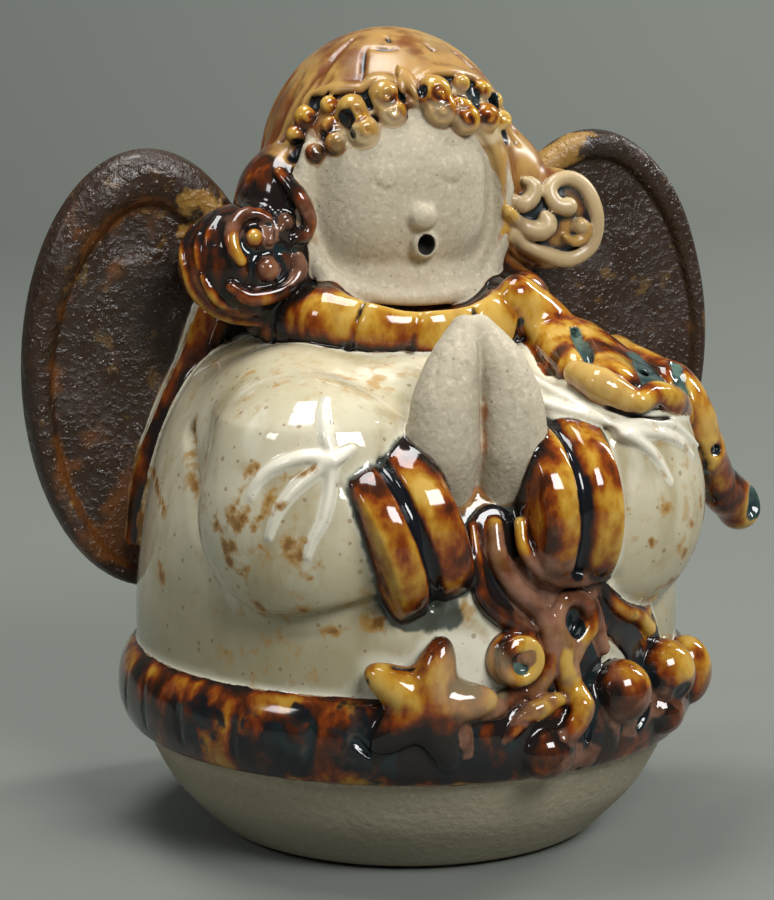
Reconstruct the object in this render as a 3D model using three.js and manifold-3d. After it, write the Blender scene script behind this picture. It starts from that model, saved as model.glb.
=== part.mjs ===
// Angel figurine: a round-bodied, praying angel in hand-built, glazed stoneware, fired as one piece.
// Millimetres, +Z up. The flat foot stands on the origin and the figure looks along -Y,
// so its own right hand is on the -X side.
import * as THREE from 'three';
import { mergeVertices } from 'three/addons/utils/BufferGeometryUtils.js';
import Module from 'manifold-3d';

const wasm = await Module();
wasm.setup();

// Driving dimensions
const HEIGHT = 180;
const FOOT_RADIUS = 40;
const HEM_BOTTOM = 24;
const HEM_TOP = 42;
const HEM_RADIUS = 66;
const HEM_TUFTS = [-140, -79, -65, -50.7, -35.2, 80, 140];
const BODY_RADIUS = 61.5;
const HEAD_RADII = [29.5, 33, 33.4];
const HEAD_CENTRE = new THREE.Vector3(2, 21, HEIGHT - HEAD_RADII[2]);
const FACE_CENTRE = new THREE.Vector3(-0.4, 13.2, 142);
const FACE_RADII = [25, 25.6, 22.6];
const EYE_MIDDLES = [[-8.3, 146], [7.3, 146.8]];
const EYE_FRONT = -10.6;
const MOUTH_HEIGHT = 133.2;
const COLLAR_CENTRE = new THREE.Vector3(0, 9.5, 118);
const COLLAR_RADIUS = 27.5;
const COLLAR_THICKNESS = 8;
const WING_PLANE = 23.5;
const WING_THICKNESS = 8;
const WING_RIM = 6.5;
const WING_HALF = [29.5, 50.5];
const WING_MIDDLE = 53.8;
const SLEEVE_CENTRE = new THREE.Vector3(32, -39, 79);
const SLEEVE_HALF = [25.5, 21, 26.5];
const CUFF_RADIUS = 19;
const RIGHT_CUFF = { middle: [-18.3, -49.4, 77.4], axis: [0.93, 0.05, 0.34] };
const LEFT_CUFF = { middle: [16.8, -49.4, 81], axis: [-0.97, -0.12, -0.04] };
const STAR_RADIUS = 15;
const STAR_HEIGHT = 5.6;
const HAND_LENGTH = 43;
const HAND_TIP = 123.5;
const HANDS_MIDDLE = -1.5;

// Outline of the turned form, radius against height, from the foot to inside the neck.
const TRUNK = [
  [0, 0], [FOOT_RADIUS, 0], [45.5, 2.8], [53.8, 11.8], [59.5, HEM_BOTTOM - 1.5],
  [63, HEM_BOTTOM + 0.6], [HEM_RADIUS, HEM_BOTTOM + 6], [65.6, HEM_TOP - 4.5], [BODY_RADIUS, HEM_TOP + 1],
  [BODY_RADIUS, 57], [59.6, 73], [54.6, 90], [44.2, 107], [33, 115], [0, 124],
];

// How far back the turned form's axis stands at a height: the chest slopes up to the collar.
const leanBack = (z) => 10 * Math.max(0, (z - 60) / 60) ** 2;

const vec = (x, y, z) => new THREE.Vector3(x, y, z);
const FORWARD = vec(0, -1, 0);

// A closed geometry as a solid that can be joined and cut, with its faces turned outwards.
function solidOf(geometry) {
  const bare = geometry.clone();
  bare.deleteAttribute('normal');
  bare.deleteAttribute('uv');
  const merged = mergeVertices(bare, 1e-4);
  const spots = merged.attributes.position.array;
  const corners = merged.index.array;
  const kept = [];
  let volume = 0;
  for (let i = 0; i < corners.length; i += 3) {
    const [a, b, c] = corners.subarray(i, i + 3);
    if (a === b || b === c || c === a) continue;
    kept.push(a, b, c);
    const [p, q, r] = [a, b, c].map((k) => new THREE.Vector3().fromArray(spots, 3 * k));
    volume += p.dot(q.cross(r));
  }
  if (volume < 0) kept.reverse();
  return new wasm.Manifold(new wasm.Mesh({
    numProp: 3,
    vertProperties: new Float32Array(spots),
    triVerts: new Uint32Array(kept),
  }));
}

// The join of several solids.
function joined(solids) {
  return solids.reduce((whole, next) => whole.add(next));
}

// A closed revolved form about an upright axis, from [radius, height] pairs.
function turned(profile, segments) {
  const lathe = new THREE.LatheGeometry(profile.map(([r, z]) => new THREE.Vector2(r, z)), segments);
  return lathe.rotateX(Math.PI / 2);
}

// An egg of three half axes; square > 2 fills out its sides as a full cheek does, and turn swings it
// round an upright axis, in degrees.
function egg(centre, [rx, ry, rz], { around = 16, rows = 10, square = 2, turn = 0 } = {}) {
  const ball = new THREE.SphereGeometry(1, around, rows).rotateX(Math.PI / 2);
  const spots = ball.attributes.position;
  const v = new THREE.Vector3();
  for (let i = 0; i < spots.count; i += 1) {
    v.fromBufferAttribute(spots, i);
    const reach = (Math.abs(v.x) ** square + Math.abs(v.z) ** square + Math.abs(v.y) ** 2) ** (-1 / square);
    if (square > 2) v.multiplyScalar(reach);
    spots.setXYZ(i, v.x * rx, v.y * ry, v.z * rz);
  }
  ball.rotateZ(THREE.MathUtils.degToRad(turn)).translate(centre.x, centre.y, centre.z);
  return solidOf(ball);
}

// Radius of the turned form at a height.
function trunkRadius(z) {
  const next = TRUNK.findIndex(([, height], k) => k > 1 && height >= z);
  const [r0, z0] = TRUNK[next - 1];
  const [r1, z1] = TRUNK[next];
  return r0 + ((r1 - r0) * (z - z0)) / (z1 - z0);
}

// A point on the turned form: degrees round from the front towards +X, height, and how far it stands out.
function onTrunk(degrees, z, lift = 0) {
  const a = THREE.MathUtils.degToRad(degrees);
  const r = trunkRadius(z) + lift;
  return new THREE.Vector3(r * Math.sin(a), leanBack(z) - r * Math.cos(a), z);
}

// A point on the hair: degrees round from the front towards +X, degrees up, and how far it stands out.
function onHead(degrees, up, lift = 0) {
  const a = THREE.MathUtils.degToRad(degrees);
  const e = THREE.MathUtils.degToRad(up);
  const d = new THREE.Vector3(Math.cos(e) * Math.sin(a), -Math.cos(e) * Math.cos(a), Math.sin(e));
  const reach = 1 / Math.hypot(d.x / HEAD_RADII[0], d.y / HEAD_RADII[1], d.z / HEAD_RADII[2]);
  return d.multiplyScalar(reach + lift).add(HEAD_CENTRE);
}

const outFromAxis = (p) => new THREE.Vector3(p.x, p.y, 0).normalize();
const outFromHead = (p) => p.clone().sub(HEAD_CENTRE).normalize();

// A roll of clay with rounded ends along a smooth path. width runs across the surface it lies on and
// height stands out of it; each is one size or a start and an end size. The roll is nipped in at the
// pinched rows.
function roll(points, width, height, { sides = 6, rows = 10, out = outFromAxis, pinched = [] } = {}) {
  const path = new THREE.CatmullRomCurve3(points);
  const skin = new THREE.SphereGeometry(1, sides, rows);
  const spots = skin.attributes.position;
  const [w0, w1] = [width].flat().length > 1 ? width : [width, width];
  const [h0, h1] = [height].flat().length > 1 ? height : [height, height];
  const v = new THREE.Vector3();
  for (let i = 0; i < spots.count; i += 1) {
    v.fromBufferAttribute(spots, i);
    const t = Math.acos(THREE.MathUtils.clamp(v.y, -1, 1)) / Math.PI;
    const ring = Math.hypot(v.x, v.z) || 1;
    const nip = pinched.includes(Math.round(t * rows)) ? 0.8 : 1;
    const round = nip * Math.sqrt(Math.max(0, 1 - Math.abs(2 * t - 1) ** 4));
    const at = path.getPointAt(t);
    const along = path.getTangentAt(t);
    const up = out(at);
    up.addScaledVector(along, -up.dot(along)).normalize();
    const across = new THREE.Vector3().crossVectors(along, up);
    at.addScaledVector(up, (v.x / ring) * round * 0.5 * THREE.MathUtils.lerp(h0, h1, t));
    at.addScaledVector(across, (v.z / ring) * round * 0.5 * THREE.MathUtils.lerp(w0, w1, t));
    spots.setXYZ(i, at.x, at.y, at.z);
  }
  return solidOf(skin);
}

// A frame on a surface: right and up lie in it, and out stands on it.
function frameAt(out, lean = 0) {
  const normal = out.clone().normalize();
  const right = new THREE.Vector3(-normal.y, normal.x, 0).normalize();
  const up = new THREE.Vector3().crossVectors(normal, right);
  const a = THREE.MathUtils.degToRad(lean);
  return {
    normal,
    right: right.clone().multiplyScalar(Math.cos(a)).addScaledVector(up, Math.sin(a)),
    up: up.clone().multiplyScalar(Math.cos(a)).addScaledVector(right, -Math.sin(a)),
  };
}

// A curl of clay wound into a flat spiral: it starts at the rim and rises a little to its middle.
function curl(centre, out, radius, { turns = 1.25, start = 0, hand = 1, rows = 8 } = {}) {
  const { normal, right, up } = frameAt(out);
  const thick = 0.62 * radius;
  const steps = 9;
  const points = Array.from({ length: steps }, (_, k) => {
    const t = k / (steps - 1);
    const a = THREE.MathUtils.degToRad(start + hand * 360 * turns * t);
    const r = (radius - thick / 2) * (1 - 0.78 * t);
    const spot = centre.clone().addScaledVector(right, r * Math.cos(a)).addScaledVector(up, r * Math.sin(a));
    return spot.addScaledVector(normal, 0.16 * radius * t);
  });
  return roll(points, thick, 1.2 * thick, { sides: 4, rows, out: () => normal });
}

// A low domed disc with a ring pressed round its middle, as a tight small curl looks.
function button(centre, out, r) {
  const profile = [[0, -0.8], [1, -0.1], [0.72, 0.5], [0.42, 0.25], [0, 0.75]];
  const disc = new THREE.LatheGeometry(profile.map(([x, y]) => new THREE.Vector2(x * r, y * r)), 6);
  disc.applyQuaternion(new THREE.Quaternion().setFromUnitVectors(vec(0, 1, 0), out.clone().normalize()));
  return solidOf(disc.translate(centre.x, centre.y, centre.z));
}

// A graver's cut along a path, to be taken out of a surface.
function groove(points, width, depth, { rows = 3, out = outFromAxis } = {}) {
  return roll(points, width, depth * 2, { sides: 4, rows, out });
}

// Foot, body and hem band, turned in one. The band is pressed into tufts by upright strokes.
function makeTrunk() {
  const form = turned(TRUNK, 32);
  const spots = form.attributes.position;
  for (let i = 0; i < spots.count; i += 1) spots.setY(i, spots.getY(i) + leanBack(spots.getZ(i)));
  const heights = [HEM_TOP + 0.4, (HEM_TOP + HEM_BOTTOM) / 2, HEM_BOTTOM + 1.2];
  const marks = HEM_TUFTS.map((degrees) => groove(heights.map((z) => onTrunk(degrees, z, 0.2)), 1.9, 1.5));
  return solidOf(form).subtract(joined(marks));
}

// Full sleeves that hang from the shoulders and run forward to the wrists, creased on top.
function makeSleeves(side) {
  const at = vec(side * SLEEVE_CENTRE.x, SLEEVE_CENTRE.y, SLEEVE_CENTRE.z);
  const bag = egg(at, SLEEVE_HALF, { around: 14, rows: 10, turn: side * 28 });
  const upper = egg(vec(side * 32, -17, 91), [17.5, 18.5, 20], { around: 10, rows: 6 });
  const onSleeve = (degrees, up) => {
    const a = THREE.MathUtils.degToRad(degrees);
    const e = THREE.MathUtils.degToRad(up);
    const [rx, ry, rz] = SLEEVE_HALF.map((half) => half - 0.5);
    const level = Math.cos(e);
    return vec(side * rx * level * Math.sin(a), -ry * level * Math.cos(a), rz * Math.sin(e)).add(at);
  };
  const fold = (turn, low) => roll(
    [0, 0.5, 1].map((t) => onSleeve(turn * t, THREE.MathUtils.lerp(45, low, t))),
    [3, 5],
    [2.2, 2.6],
    { sides: 5, rows: 5, out: (p) => p.clone().sub(at).normalize() },
  );
  return joined([bag, upper, fold(-20, 6), fold(8, -4), fold(36, 8)]);
}

// A thick turned-back cuff: two fat rings round the wrist with a deep groove between them. Its axis
// points from the sleeve to the hand.
function makeCuff({ middle, axis }) {
  const profile = [[0, -9.4], [0.72, -9.4], [0.97, -7], [1, -2.4], [0.86, 0.4], [1, 3.4], [0.98, 8],
    [0.7, 11], [0, 11]];
  const ring = turned(profile.map(([r, along]) => [r * CUFF_RADIUS, along]), 14);
  const towardsHand = vec(...axis).normalize();
  ring.applyQuaternion(new THREE.Quaternion().setFromUnitVectors(vec(0, 0, 1), towardsHand));
  return solidOf(ring.translate(...middle));
}

// Two hands pressed together in prayer: long almond shapes that lean back to the chest, with a line
// pressed into each one towards the finger tips.
function makeHand(side) {
  const forward = () => FORWARD.clone();
  const down = [1, 0.7, 0.3, 0].map((share) => HAND_TIP - share * HAND_LENGTH);
  const spine = [[6.8, -52], [8, -55], [6.9, -53.5], [3, -48.5]].map(
    ([half, y], k) => vec(HANDS_MIDDLE + side * half, y, down[k]),
  );
  const palm = roll(spine, [18, 11.5], [17, 12], { sides: 10, rows: 9, out: forward });
  const line = spine.slice(1).map((p) => vec(p.x + side * 0.8, p.y - 5.1, p.z - 1));
  return palm.subtract(groove(line, 0.9, 0.8, { out: forward }));
}

// Head: a cap of hair, fuller at the nape and over its right ear, hollowed at the front for the face,
// with locks drawn down from the crown.
function makeHair() {
  const cap = egg(HEAD_CENTRE, HEAD_RADII, { around: 22, rows: 12 });
  const nape = egg(vec(0, 22, 133), [34, 30.5, 20.5], { around: 14, rows: 6 });
  const temple = egg(vec(-18, 16, 142), [17, 20, 18], { around: 10, rows: 6 });
  const locks = [-150, -95, -62, -40, -20, 24, 52, 95].map((degrees, k) => groove(
    [0, 0.5, 1].map((t) => onHead(degrees + 10 * t, 74 - (k % 2 ? 34 : 48) * t, 0.3)),
    1.5,
    1.4,
    { out: outFromHead },
  ));
  const parting = groove([88, 68, 50].map((up, k) => onHead(-2 * k, up, 0.4)), 1.6, 1.5, { out: outFromHead });
  const wellRadii = [FACE_RADII[0] - 0.6, 24, FACE_RADII[2] - 0.4];
  const well = egg(vec(0, -12, FACE_CENTRE.z - 0.5), wellRadii, { around: 14, rows: 8 });
  const hair = joined([cap, nape, temple]);
  return hair.subtract(joined([...locks, parting])).subtract(well);
}

// A full-cheeked plain face with closed eyes, a button nose and a small round singing mouth.
function makeFace() {
  const face = egg(FACE_CENTRE, FACE_RADII, { around: 18, rows: 10, square: 3 });
  const lid = [[-3, 1], [0, -0.3], [3, 1]];
  const eyes = EYE_MIDDLES.map(([middle, height]) => groove(
    lid.map(([dx, dz]) => vec(middle + dx, EYE_FRONT, height + dz)),
    0.9,
    1,
    { out: () => FORWARD.clone() },
  ));
  const nose = egg(vec(-0.3, -12, 139.3), [3.1, 3, 3], { around: 7, rows: 5 });
  const rim = [[0, -2], [2.6, -2], [2.8, 0.3], [2.1, 1.1], [1.4, 0.4], [1.2, -1.2], [0, -1.4]];
  const lips = new THREE.LatheGeometry(rim.map(([x, y]) => new THREE.Vector2(x, y)), 8);
  lips.rotateX(Math.PI / 2 + 0.12).translate(0.6, -11.8, MOUTH_HEIGHT);
  const hole = egg(vec(0.6, -13.2, MOUTH_HEIGHT), [1.5, 3.2, 1.5], { around: 7, rows: 5 });
  return face.subtract(joined(eyes)).add(nose).subtract(hole).add(solidOf(lips));
}

// The fringe: small curls set side by side on both sides of a parting tuft.
function makeFringe() {
  const curls = [
    [-13.5, 32, 4], [-26, 28, 4.4], [-38, 29, 3.6], [-37, 18.5, 3.2], [-47, 14, 3.2],
    [9, 34, 4.6], [25, 37, 3], [22, 28, 3.8], [35, 30, 3.4], [46, 26, 3], [45, 18, 2.8],
  ];
  const ridge = [onHead(-5, 47, 0), onHead(-2, 39, 1.4), onHead(-1, 30, 0.6)];
  const tuft = roll(ridge, [2.5, 4], [2, 3.4], { rows: 6, out: outFromHead });
  const wound = curls.map(([around, up, radius]) => {
    const at = onHead(around, up, 1);
    return button(at, outFromHead(at), radius);
  });
  return joined([tuft, ...wound]);
}

// The hair at an ear rolls out into a bunch of spiral curls, each given as its place to the right and
// up of the bunch's middle, its radius, and the angle and the hand of its winding.
function makeBunch(centre, radii, facing, spirals) {
  const { normal, right, up } = frameAt(facing);
  const [rx, ry, rz] = radii;
  const reach = 1 / Math.hypot(normal.x / rx, normal.y / ry, normal.z / rz);
  const wound = spirals.map(([dx, dz, radius, start, hand]) => {
    const bulge = reach * Math.sqrt(Math.max(0.2, 1 - (dx / rx) ** 2 - (dz / rz) ** 2));
    const at = centre.clone().addScaledVector(right, dx).addScaledVector(up, dz);
    at.addScaledVector(normal, bulge - 0.1 * radius);
    const tilt = normal.clone().addScaledVector(right, (0.5 * dx) / rx).addScaledVector(up, (0.4 * dz) / rz);
    return curl(at, tilt, radius, { start, hand });
  });
  return joined([egg(centre, radii, { around: 12, rows: 7 }), ...wound]);
}

function makeEarRolls() {
  const right = makeBunch(vec(-36.8, 3, 128.8), [15, 14.5, 13.5], vec(0.1, -1, 0.05), [
    [-1.2, 5.2, 4.8, 200, 1], [7.6, 7.8, 3.9, 20, -1], [1.2, -2.6, 4.6, 150, 1], [9.5, -1, 4, 240, -1],
  ]);
  const left = makeBunch(vec(36, 4, 137), [12.5, 8.5, 11.5], vec(-0.15, -1, 0.1), [
    [-7.3, 5.6, 4.4, 250, -1], [2, 4, 6.2, 280, 1], [-3, -3, 4.4, 180, 1], [5.6, -4.2, 3.6, 200, 1],
  ]);
  return right.add(left);
}

// A padded collar round the neck, pinched in at every third rib.
function makeCollar() {
  const ribs = 24;
  const ring = new THREE.TorusGeometry(COLLAR_RADIUS, COLLAR_THICKNESS, 7, ribs);
  const spots = ring.attributes.position;
  const v = new THREE.Vector3();
  for (let i = 0; i < spots.count; i += 1) {
    v.fromBufferAttribute(spots, i);
    const around = Math.atan2(v.y, v.x);
    const rib = Math.round((around / (2 * Math.PI)) * ribs);
    const middle = vec(Math.cos(around), Math.sin(around), 0).multiplyScalar(COLLAR_RADIUS);
    if (rib % 3 === 0) v.sub(middle).multiplyScalar(0.86).add(middle);
    spots.setXYZ(i, v.x, v.y, v.z);
  }
  return solidOf(ring.rotateX(0.1).translate(COLLAR_CENTRE.x, COLLAR_CENTRE.y, COLLAR_CENTRE.z));
}

// The scarf's loose end: from the collar over the figure's left shoulder and sleeve to a flared tip
// with a dimple in it, and a short lobe below its start.
function makeScarf() {
  const out = (p) => vec(p.x - 20, p.y - 18, 34).normalize();
  const path = [[25, -12, 117], [34, -13, 113], [45, -19, 104.5], [57, -22, 98], [66, -20, 90],
    [72, -14, 80], [77, -8, 71]].map(([x, y, z]) => vec(x, y, z));
  const band = roll(path, [12.5, 13.5], [9.5, 8.5], { rows: 12, out, pinched: [3, 6, 9] });
  const fold = [vec(30, -22, 108), vec(38, -27, 103), vec(45, -31, 99.5)];
  const lobe = roll(fold, 8, 6, { sides: 5, rows: 5, out });
  const flare = egg(vec(80, -6, 68.5), [5.2, 6, 5.4], { around: 9, rows: 6 });
  const dimple = egg(vec(84.6, -9.5, 67.5), [2.6, 3, 3], { around: 7, rows: 4 });
  return joined([band, lobe, flare]).subtract(dimple);
}

// A broad rounded wing, flat behind, with a thick rolled rim round a sunken face. The figure's left
// wing sits a little higher than its right one.
function makeWing(side) {
  const height = side > 0 ? 105 : 102.5;
  const [wide, tall] = WING_HALF;
  const soft = 2;
  const slab = (inset, curveSegments) => {
    const outline = new THREE.Shape();
    outline.absellipse(side * WING_MIDDLE, height, wide - inset, tall - inset, 0, Math.PI * 2);
    const bevel = { bevelSize: soft, bevelThickness: soft, bevelOffset: -soft, bevelSegments: 1 };
    const depth = WING_THICKNESS - 2 * soft;
    const form = new THREE.ExtrudeGeometry(outline, { depth, ...bevel, curveSegments });
    return form.rotateX(Math.PI / 2).translate(0, WING_PLANE - soft, 0);
  };
  const plate = slab(0, 14).translate(0, WING_THICKNESS / 2, 0);
  return solidOf(plate).subtract(solidOf(slab(WING_RIM, 11)));
}

// A puffed five-pointed star, a rose, leaves, fruits and hanging stems, applied over the hem. Stems and
// leaves are lists of places on the turned form: degrees round from the front, and height.
function makeGarland() {
  const stem = (spots, width, height) => roll(
    spots.map(([degrees, z]) => onTrunk(degrees, z, 0.6)),
    width,
    height,
    { sides: 5, rows: 6 },
  );
  const stems = [
    stem([[-3.5, 80], [-2.8, 71.7], [-1.2, 66], [3.5, 61], [8.2, 56], [9.8, 50], [8.6, 46.8]], [4.6, 3.8], 5),
    stem([[1.8, 78], [2.8, 70], [6, 64.5], [10.5, 59.5], [12.3, 54], [12, 49.5], [6.4, 43]], [4.8, 4.2], 6.5),
    stem([[13.5, 66], [17, 58.5], [16, 50], [17, 44.7], [15, 38.5], [11.5, 34]], [5, 5.5], 7),
    stem([[22.2, 64], [22.6, 56], [24.2, 50.5], [27.4, 48.5]], [4.4, 4], 5.5),
    stem([[25.7, 66], [27.3, 59.5], [32, 56.8], [37.8, 53.5], [40, 49]], [4.6, 4.2], 5.5),
  ];
  const leaves = [
    stem([[-3.4, 38.6], [1, 41.2], [6.4, 43]], [3.4, 4.6], 5),
    stem([[3.3, 38.6], [9, 41.4], [14, 43]], [3.2, 4.6], 5),
    stem([[-8.5, 43], [-7.2, 38], [-6.4, 33.5]], [4, 5], 5),
    stem([[-15.5, 30], [-12, 33.2], [-8.2, 33.4]], [3.4, 4.4], 4),
  ];
  const fruits = [[28.6, 41.6, 7.2], [44.5, 40, 8], [9.4, 31.6, 6.4], [61, 40, 5]].map(
    ([degrees, z, r]) => egg(onTrunk(degrees, z, r * 0.15), [r, r, r], { around: 8, rows: 5 }),
  );
  const roseSeat = onTrunk(4.8, 51.8, 0.6);
  const roseOut = outFromAxis(roseSeat);
  const petals = curl(onTrunk(4.8, 51.8, 2.2), roseOut, 6.2, { turns: 1.4, start: 60, hand: -1, rows: 10 });
  return joined([...stems, ...leaves, ...fruits, button(roseSeat, roseOut, 5.6), petals, makeStar()]);
}

// The star is a ball drawn out to five points and pressed flat against the hem.
function makeStar() {
  const seat = onTrunk(-13.6, 42.8, 0.6);
  const { normal, right, up } = frameAt(outFromAxis(seat), -14);
  const ball = new THREE.SphereGeometry(1, 20, 5);
  const spots = ball.attributes.position;
  const v = new THREE.Vector3();
  for (let i = 0; i < spots.count; i += 1) {
    v.fromBufferAttribute(spots, i);
    const turn = Math.cos(5 * (Math.atan2(v.z, v.x) - Math.PI / 2));
    const reach = STAR_RADIUS * (0.77 + 0.2 * turn + 0.03 * turn ** 2);
    const spot = seat.clone().addScaledVector(right, v.x * reach).addScaledVector(up, v.z * reach);
    spot.addScaledVector(normal, -v.y * STAR_HEIGHT);
    spots.setXYZ(i, spot.x, spot.y, spot.z);
  }
  return solidOf(ball);
}

// Every form joined into the one solid, as one mesh of fired stoneware.
const pairs = [-1, 1].flatMap((side) => [makeSleeves(side), makeHand(side), makeWing(side)]);
const cuffs = [makeCuff(RIGHT_CUFF), makeCuff(LEFT_CUFF)];
const headForms = [makeHair(), makeFace(), makeFringe(), makeEarRolls()];
const figure = joined([makeTrunk(), ...pairs, ...cuffs, ...headForms, makeCollar(), makeScarf(), makeGarland()]);
const { vertProperties, triVerts } = figure.getMesh();
const clay = new THREE.BufferGeometry();
clay.setAttribute('position', new THREE.BufferAttribute(vertProperties, 3));
clay.setIndex(new THREE.BufferAttribute(triVerts, 1));
clay.computeVertexNormals();

const glaze = new THREE.MeshStandardMaterial({ color: 0xb89a68, roughness: 0.3, metalness: 0 });
const angel = new THREE.Mesh(clay, glaze);
angel.name = 'angel_figurine';

const group = new THREE.Group();
group.add(angel);

export default group;
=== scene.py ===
from collections import namedtuple

import bpy
import numpy as np
from mathutils import Matrix, Vector


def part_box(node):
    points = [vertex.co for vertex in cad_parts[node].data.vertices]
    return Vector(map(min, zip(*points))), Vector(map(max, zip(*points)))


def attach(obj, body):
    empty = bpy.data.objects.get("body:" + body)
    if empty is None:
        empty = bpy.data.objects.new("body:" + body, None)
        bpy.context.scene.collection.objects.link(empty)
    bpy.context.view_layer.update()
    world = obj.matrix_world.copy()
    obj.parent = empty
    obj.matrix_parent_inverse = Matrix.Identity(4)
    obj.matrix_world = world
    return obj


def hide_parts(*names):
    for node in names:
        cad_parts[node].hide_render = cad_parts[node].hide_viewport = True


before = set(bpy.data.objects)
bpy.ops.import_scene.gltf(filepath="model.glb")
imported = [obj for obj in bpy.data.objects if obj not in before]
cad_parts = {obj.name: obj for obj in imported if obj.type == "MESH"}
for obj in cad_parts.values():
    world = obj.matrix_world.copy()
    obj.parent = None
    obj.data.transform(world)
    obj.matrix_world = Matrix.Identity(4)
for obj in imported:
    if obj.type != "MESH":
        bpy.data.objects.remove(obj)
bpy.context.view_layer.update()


# The studio: a sweep of pale grey card that runs under the figure and curves up far behind it. Soft boxes
# hang over it, before it and on its right, one lights the card behind, and the room adds soft light.
SWEEP_WIDTH = 6.0
SWEEP_FRONT = -2.5
SWEEP_BEND_START = 1.3
SWEEP_BEND_RADIUS = 1.2
SWEEP_TOP = 3.5
CARD_GREY = "#6d716b"
CARD_ROUGHNESS = 0.75


def linear(code, alpha=1.0):
    """A colour's sRGB hex code as linear red, green, blue and alpha."""
    shares = [int(code[i:i + 2], 16) / 255 for i in (1, 3, 5)]
    return [c / 12.92 if c <= 0.04045 else ((c + 0.055) / 1.055) ** 2.4 for c in shares] + [alpha]


def sweep_card():
    """The card's outline, a flat run, a quarter circle and a rise, carried straight across in x."""
    turn = np.linspace(0, np.pi / 2, 24)
    y = np.r_[SWEEP_FRONT, SWEEP_BEND_START + SWEEP_BEND_RADIUS * np.sin(turn)]
    z = np.r_[0.0, SWEEP_BEND_RADIUS * (1 - np.cos(turn))]
    y, z = np.r_[y, y[-1]], np.r_[z, SWEEP_TOP]
    sides = np.array([-SWEEP_WIDTH / 2, SWEEP_WIDTH / 2])
    spots = np.stack([np.tile(sides, len(y)), np.repeat(y, 2), np.repeat(z, 2)], 1)
    start = 2 * np.arange(len(y) - 1)[:, None]
    mesh = bpy.data.meshes.new("sweep_card")
    mesh.from_pydata(spots.tolist(), [], (start + [0, 1, 3, 2]).tolist())
    mesh.shade_smooth()
    return mesh


card = bpy.data.materials.new("matt_card")
card.use_nodes = True
card.node_tree.nodes["Principled BSDF"].inputs["Base Color"].default_value = linear(CARD_GREY)
card.node_tree.nodes["Principled BSDF"].inputs["Roughness"].default_value = CARD_ROUGHNESS
sweep = bpy.data.objects.new("sweep", sweep_card())
sweep.data.materials.append(card)
bpy.context.scene.collection.objects.link(sweep)


def soft_box(name, place, target, size, watts):
    """A rectangular area light at a place, turned to a target, all in metres."""
    light = bpy.data.lights.new(name, "AREA")
    light.shape = "RECTANGLE"
    light.size, light.size_y = size
    light.energy = watts
    lamp = bpy.data.objects.new(name, light)
    lamp.location = place
    lamp.rotation_euler = (Vector(target) - Vector(place)).to_track_quat("-Z", "Y").to_euler()
    bpy.context.scene.collection.objects.link(lamp)


FIGURE_MIDDLE = (0, 0, 0.09)
CARD_BEHIND = (0.5, 2.4, 0.9)
ROOM_LIGHT = 0.13
soft_box("top_box", (-0.12, 0.08, 0.95), FIGURE_MIDDLE, (0.5, 0.34), 7)
soft_box("front_box", (0.22, -0.9, 0.8), FIGURE_MIDDLE, (0.5, 0.4), 13.5)
soft_box("left_box", (-0.95, -0.3, 0.7), FIGURE_MIDDLE, (0.22, 0.22), 2)
soft_box("wall_box", (1.6, 0.3, 1.3), CARD_BEHIND, (0.8, 0.8), 66)
world = bpy.data.worlds.new("room")
world.use_nodes = True
world.node_tree.nodes["Background"].inputs["Color"].default_value = linear("#cfd3d6")
world.node_tree.nodes["Background"].inputs["Strength"].default_value = ROOM_LIGHT
bpy.context.scene.world = world
bpy.context.scene.view_settings.view_transform = "Standard"


# The camera stands low and a little to the figure's right, as the photograph's does. Its place comes from
# the point it looks at, its swing, its height angle and its distance.
CAMERA_SWING = np.radians(17)
CAMERA_RISE = np.radians(9.85)
CAMERA_DISTANCE = 0.65
CAMERA_ASIDE = -0.00439
CAMERA_TARGET_HEIGHT = 0.0853
FOCAL_PIXELS = 2862
PHOTO_HEIGHT = 900
SENSOR = 24

across = Vector((np.cos(CAMERA_SWING), -np.sin(CAMERA_SWING), 0))
level_back = Vector((-np.sin(CAMERA_SWING), -np.cos(CAMERA_SWING), 0))
backward = level_back * np.cos(CAMERA_RISE) + Vector((0, 0, np.sin(CAMERA_RISE)))
lens = bpy.data.cameras.new("camera")
lens.sensor_fit = "VERTICAL"
lens.sensor_height = SENSOR
lens.lens = FOCAL_PIXELS / PHOTO_HEIGHT * SENSOR
camera = bpy.data.objects.new("camera", lens)
turn_to_view = Matrix((across, backward.cross(across), backward)).transposed().to_4x4()
stand = across * CAMERA_ASIDE + Vector((0, 0, CAMERA_TARGET_HEIGHT)) + backward * CAMERA_DISTANCE
camera.matrix_world = Matrix.Translation(stand) @ turn_to_view
bpy.context.scene.collection.objects.link(camera)
bpy.context.scene.camera = camera


# The clay. The real figure is one lump of stoneware, every part luted on wet and smoothed over. Here it is
# one field: the distance in mm to the nearest skin, below 0 inside, on an upright grid over the CAD solid's
# box. Parts are laid on it, cut out or pressed in, and marks note what the glazes did there.
STEP = 0.55
MARGIN = 4.0
solid_low, solid_high = (np.array(corner) * 1000 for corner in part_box("angel_figurine"))
axes = [np.arange(a - MARGIN, b + MARGIN, STEP, dtype=np.float32) for a, b in zip(solid_low, solid_high)]
grid_start = [axis[0] for axis in axes]
clay = np.full([len(axis) for axis in axes], MARGIN, np.float32)

Form = namedtuple("Form", "away low high")
finish = {name: np.full_like(clay, MARGIN) for name in ("bare", "cream", "amber", "wing")}
marks = {kind: [] for kind in "ink rust pale pink tan depth bed teal shade gold edge".split()}


def window(form, reach):
    """The part of the grid within reach of a form: its slices, and its x, y and z as open arrays."""
    cut = tuple(slice(*np.searchsorted(axis, [a - reach, b + reach]))
                for axis, a, b in zip(axes, form.low, form.high))
    return cut, np.ix_(*(axis[part] for axis, part in zip(axes, cut)))


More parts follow.
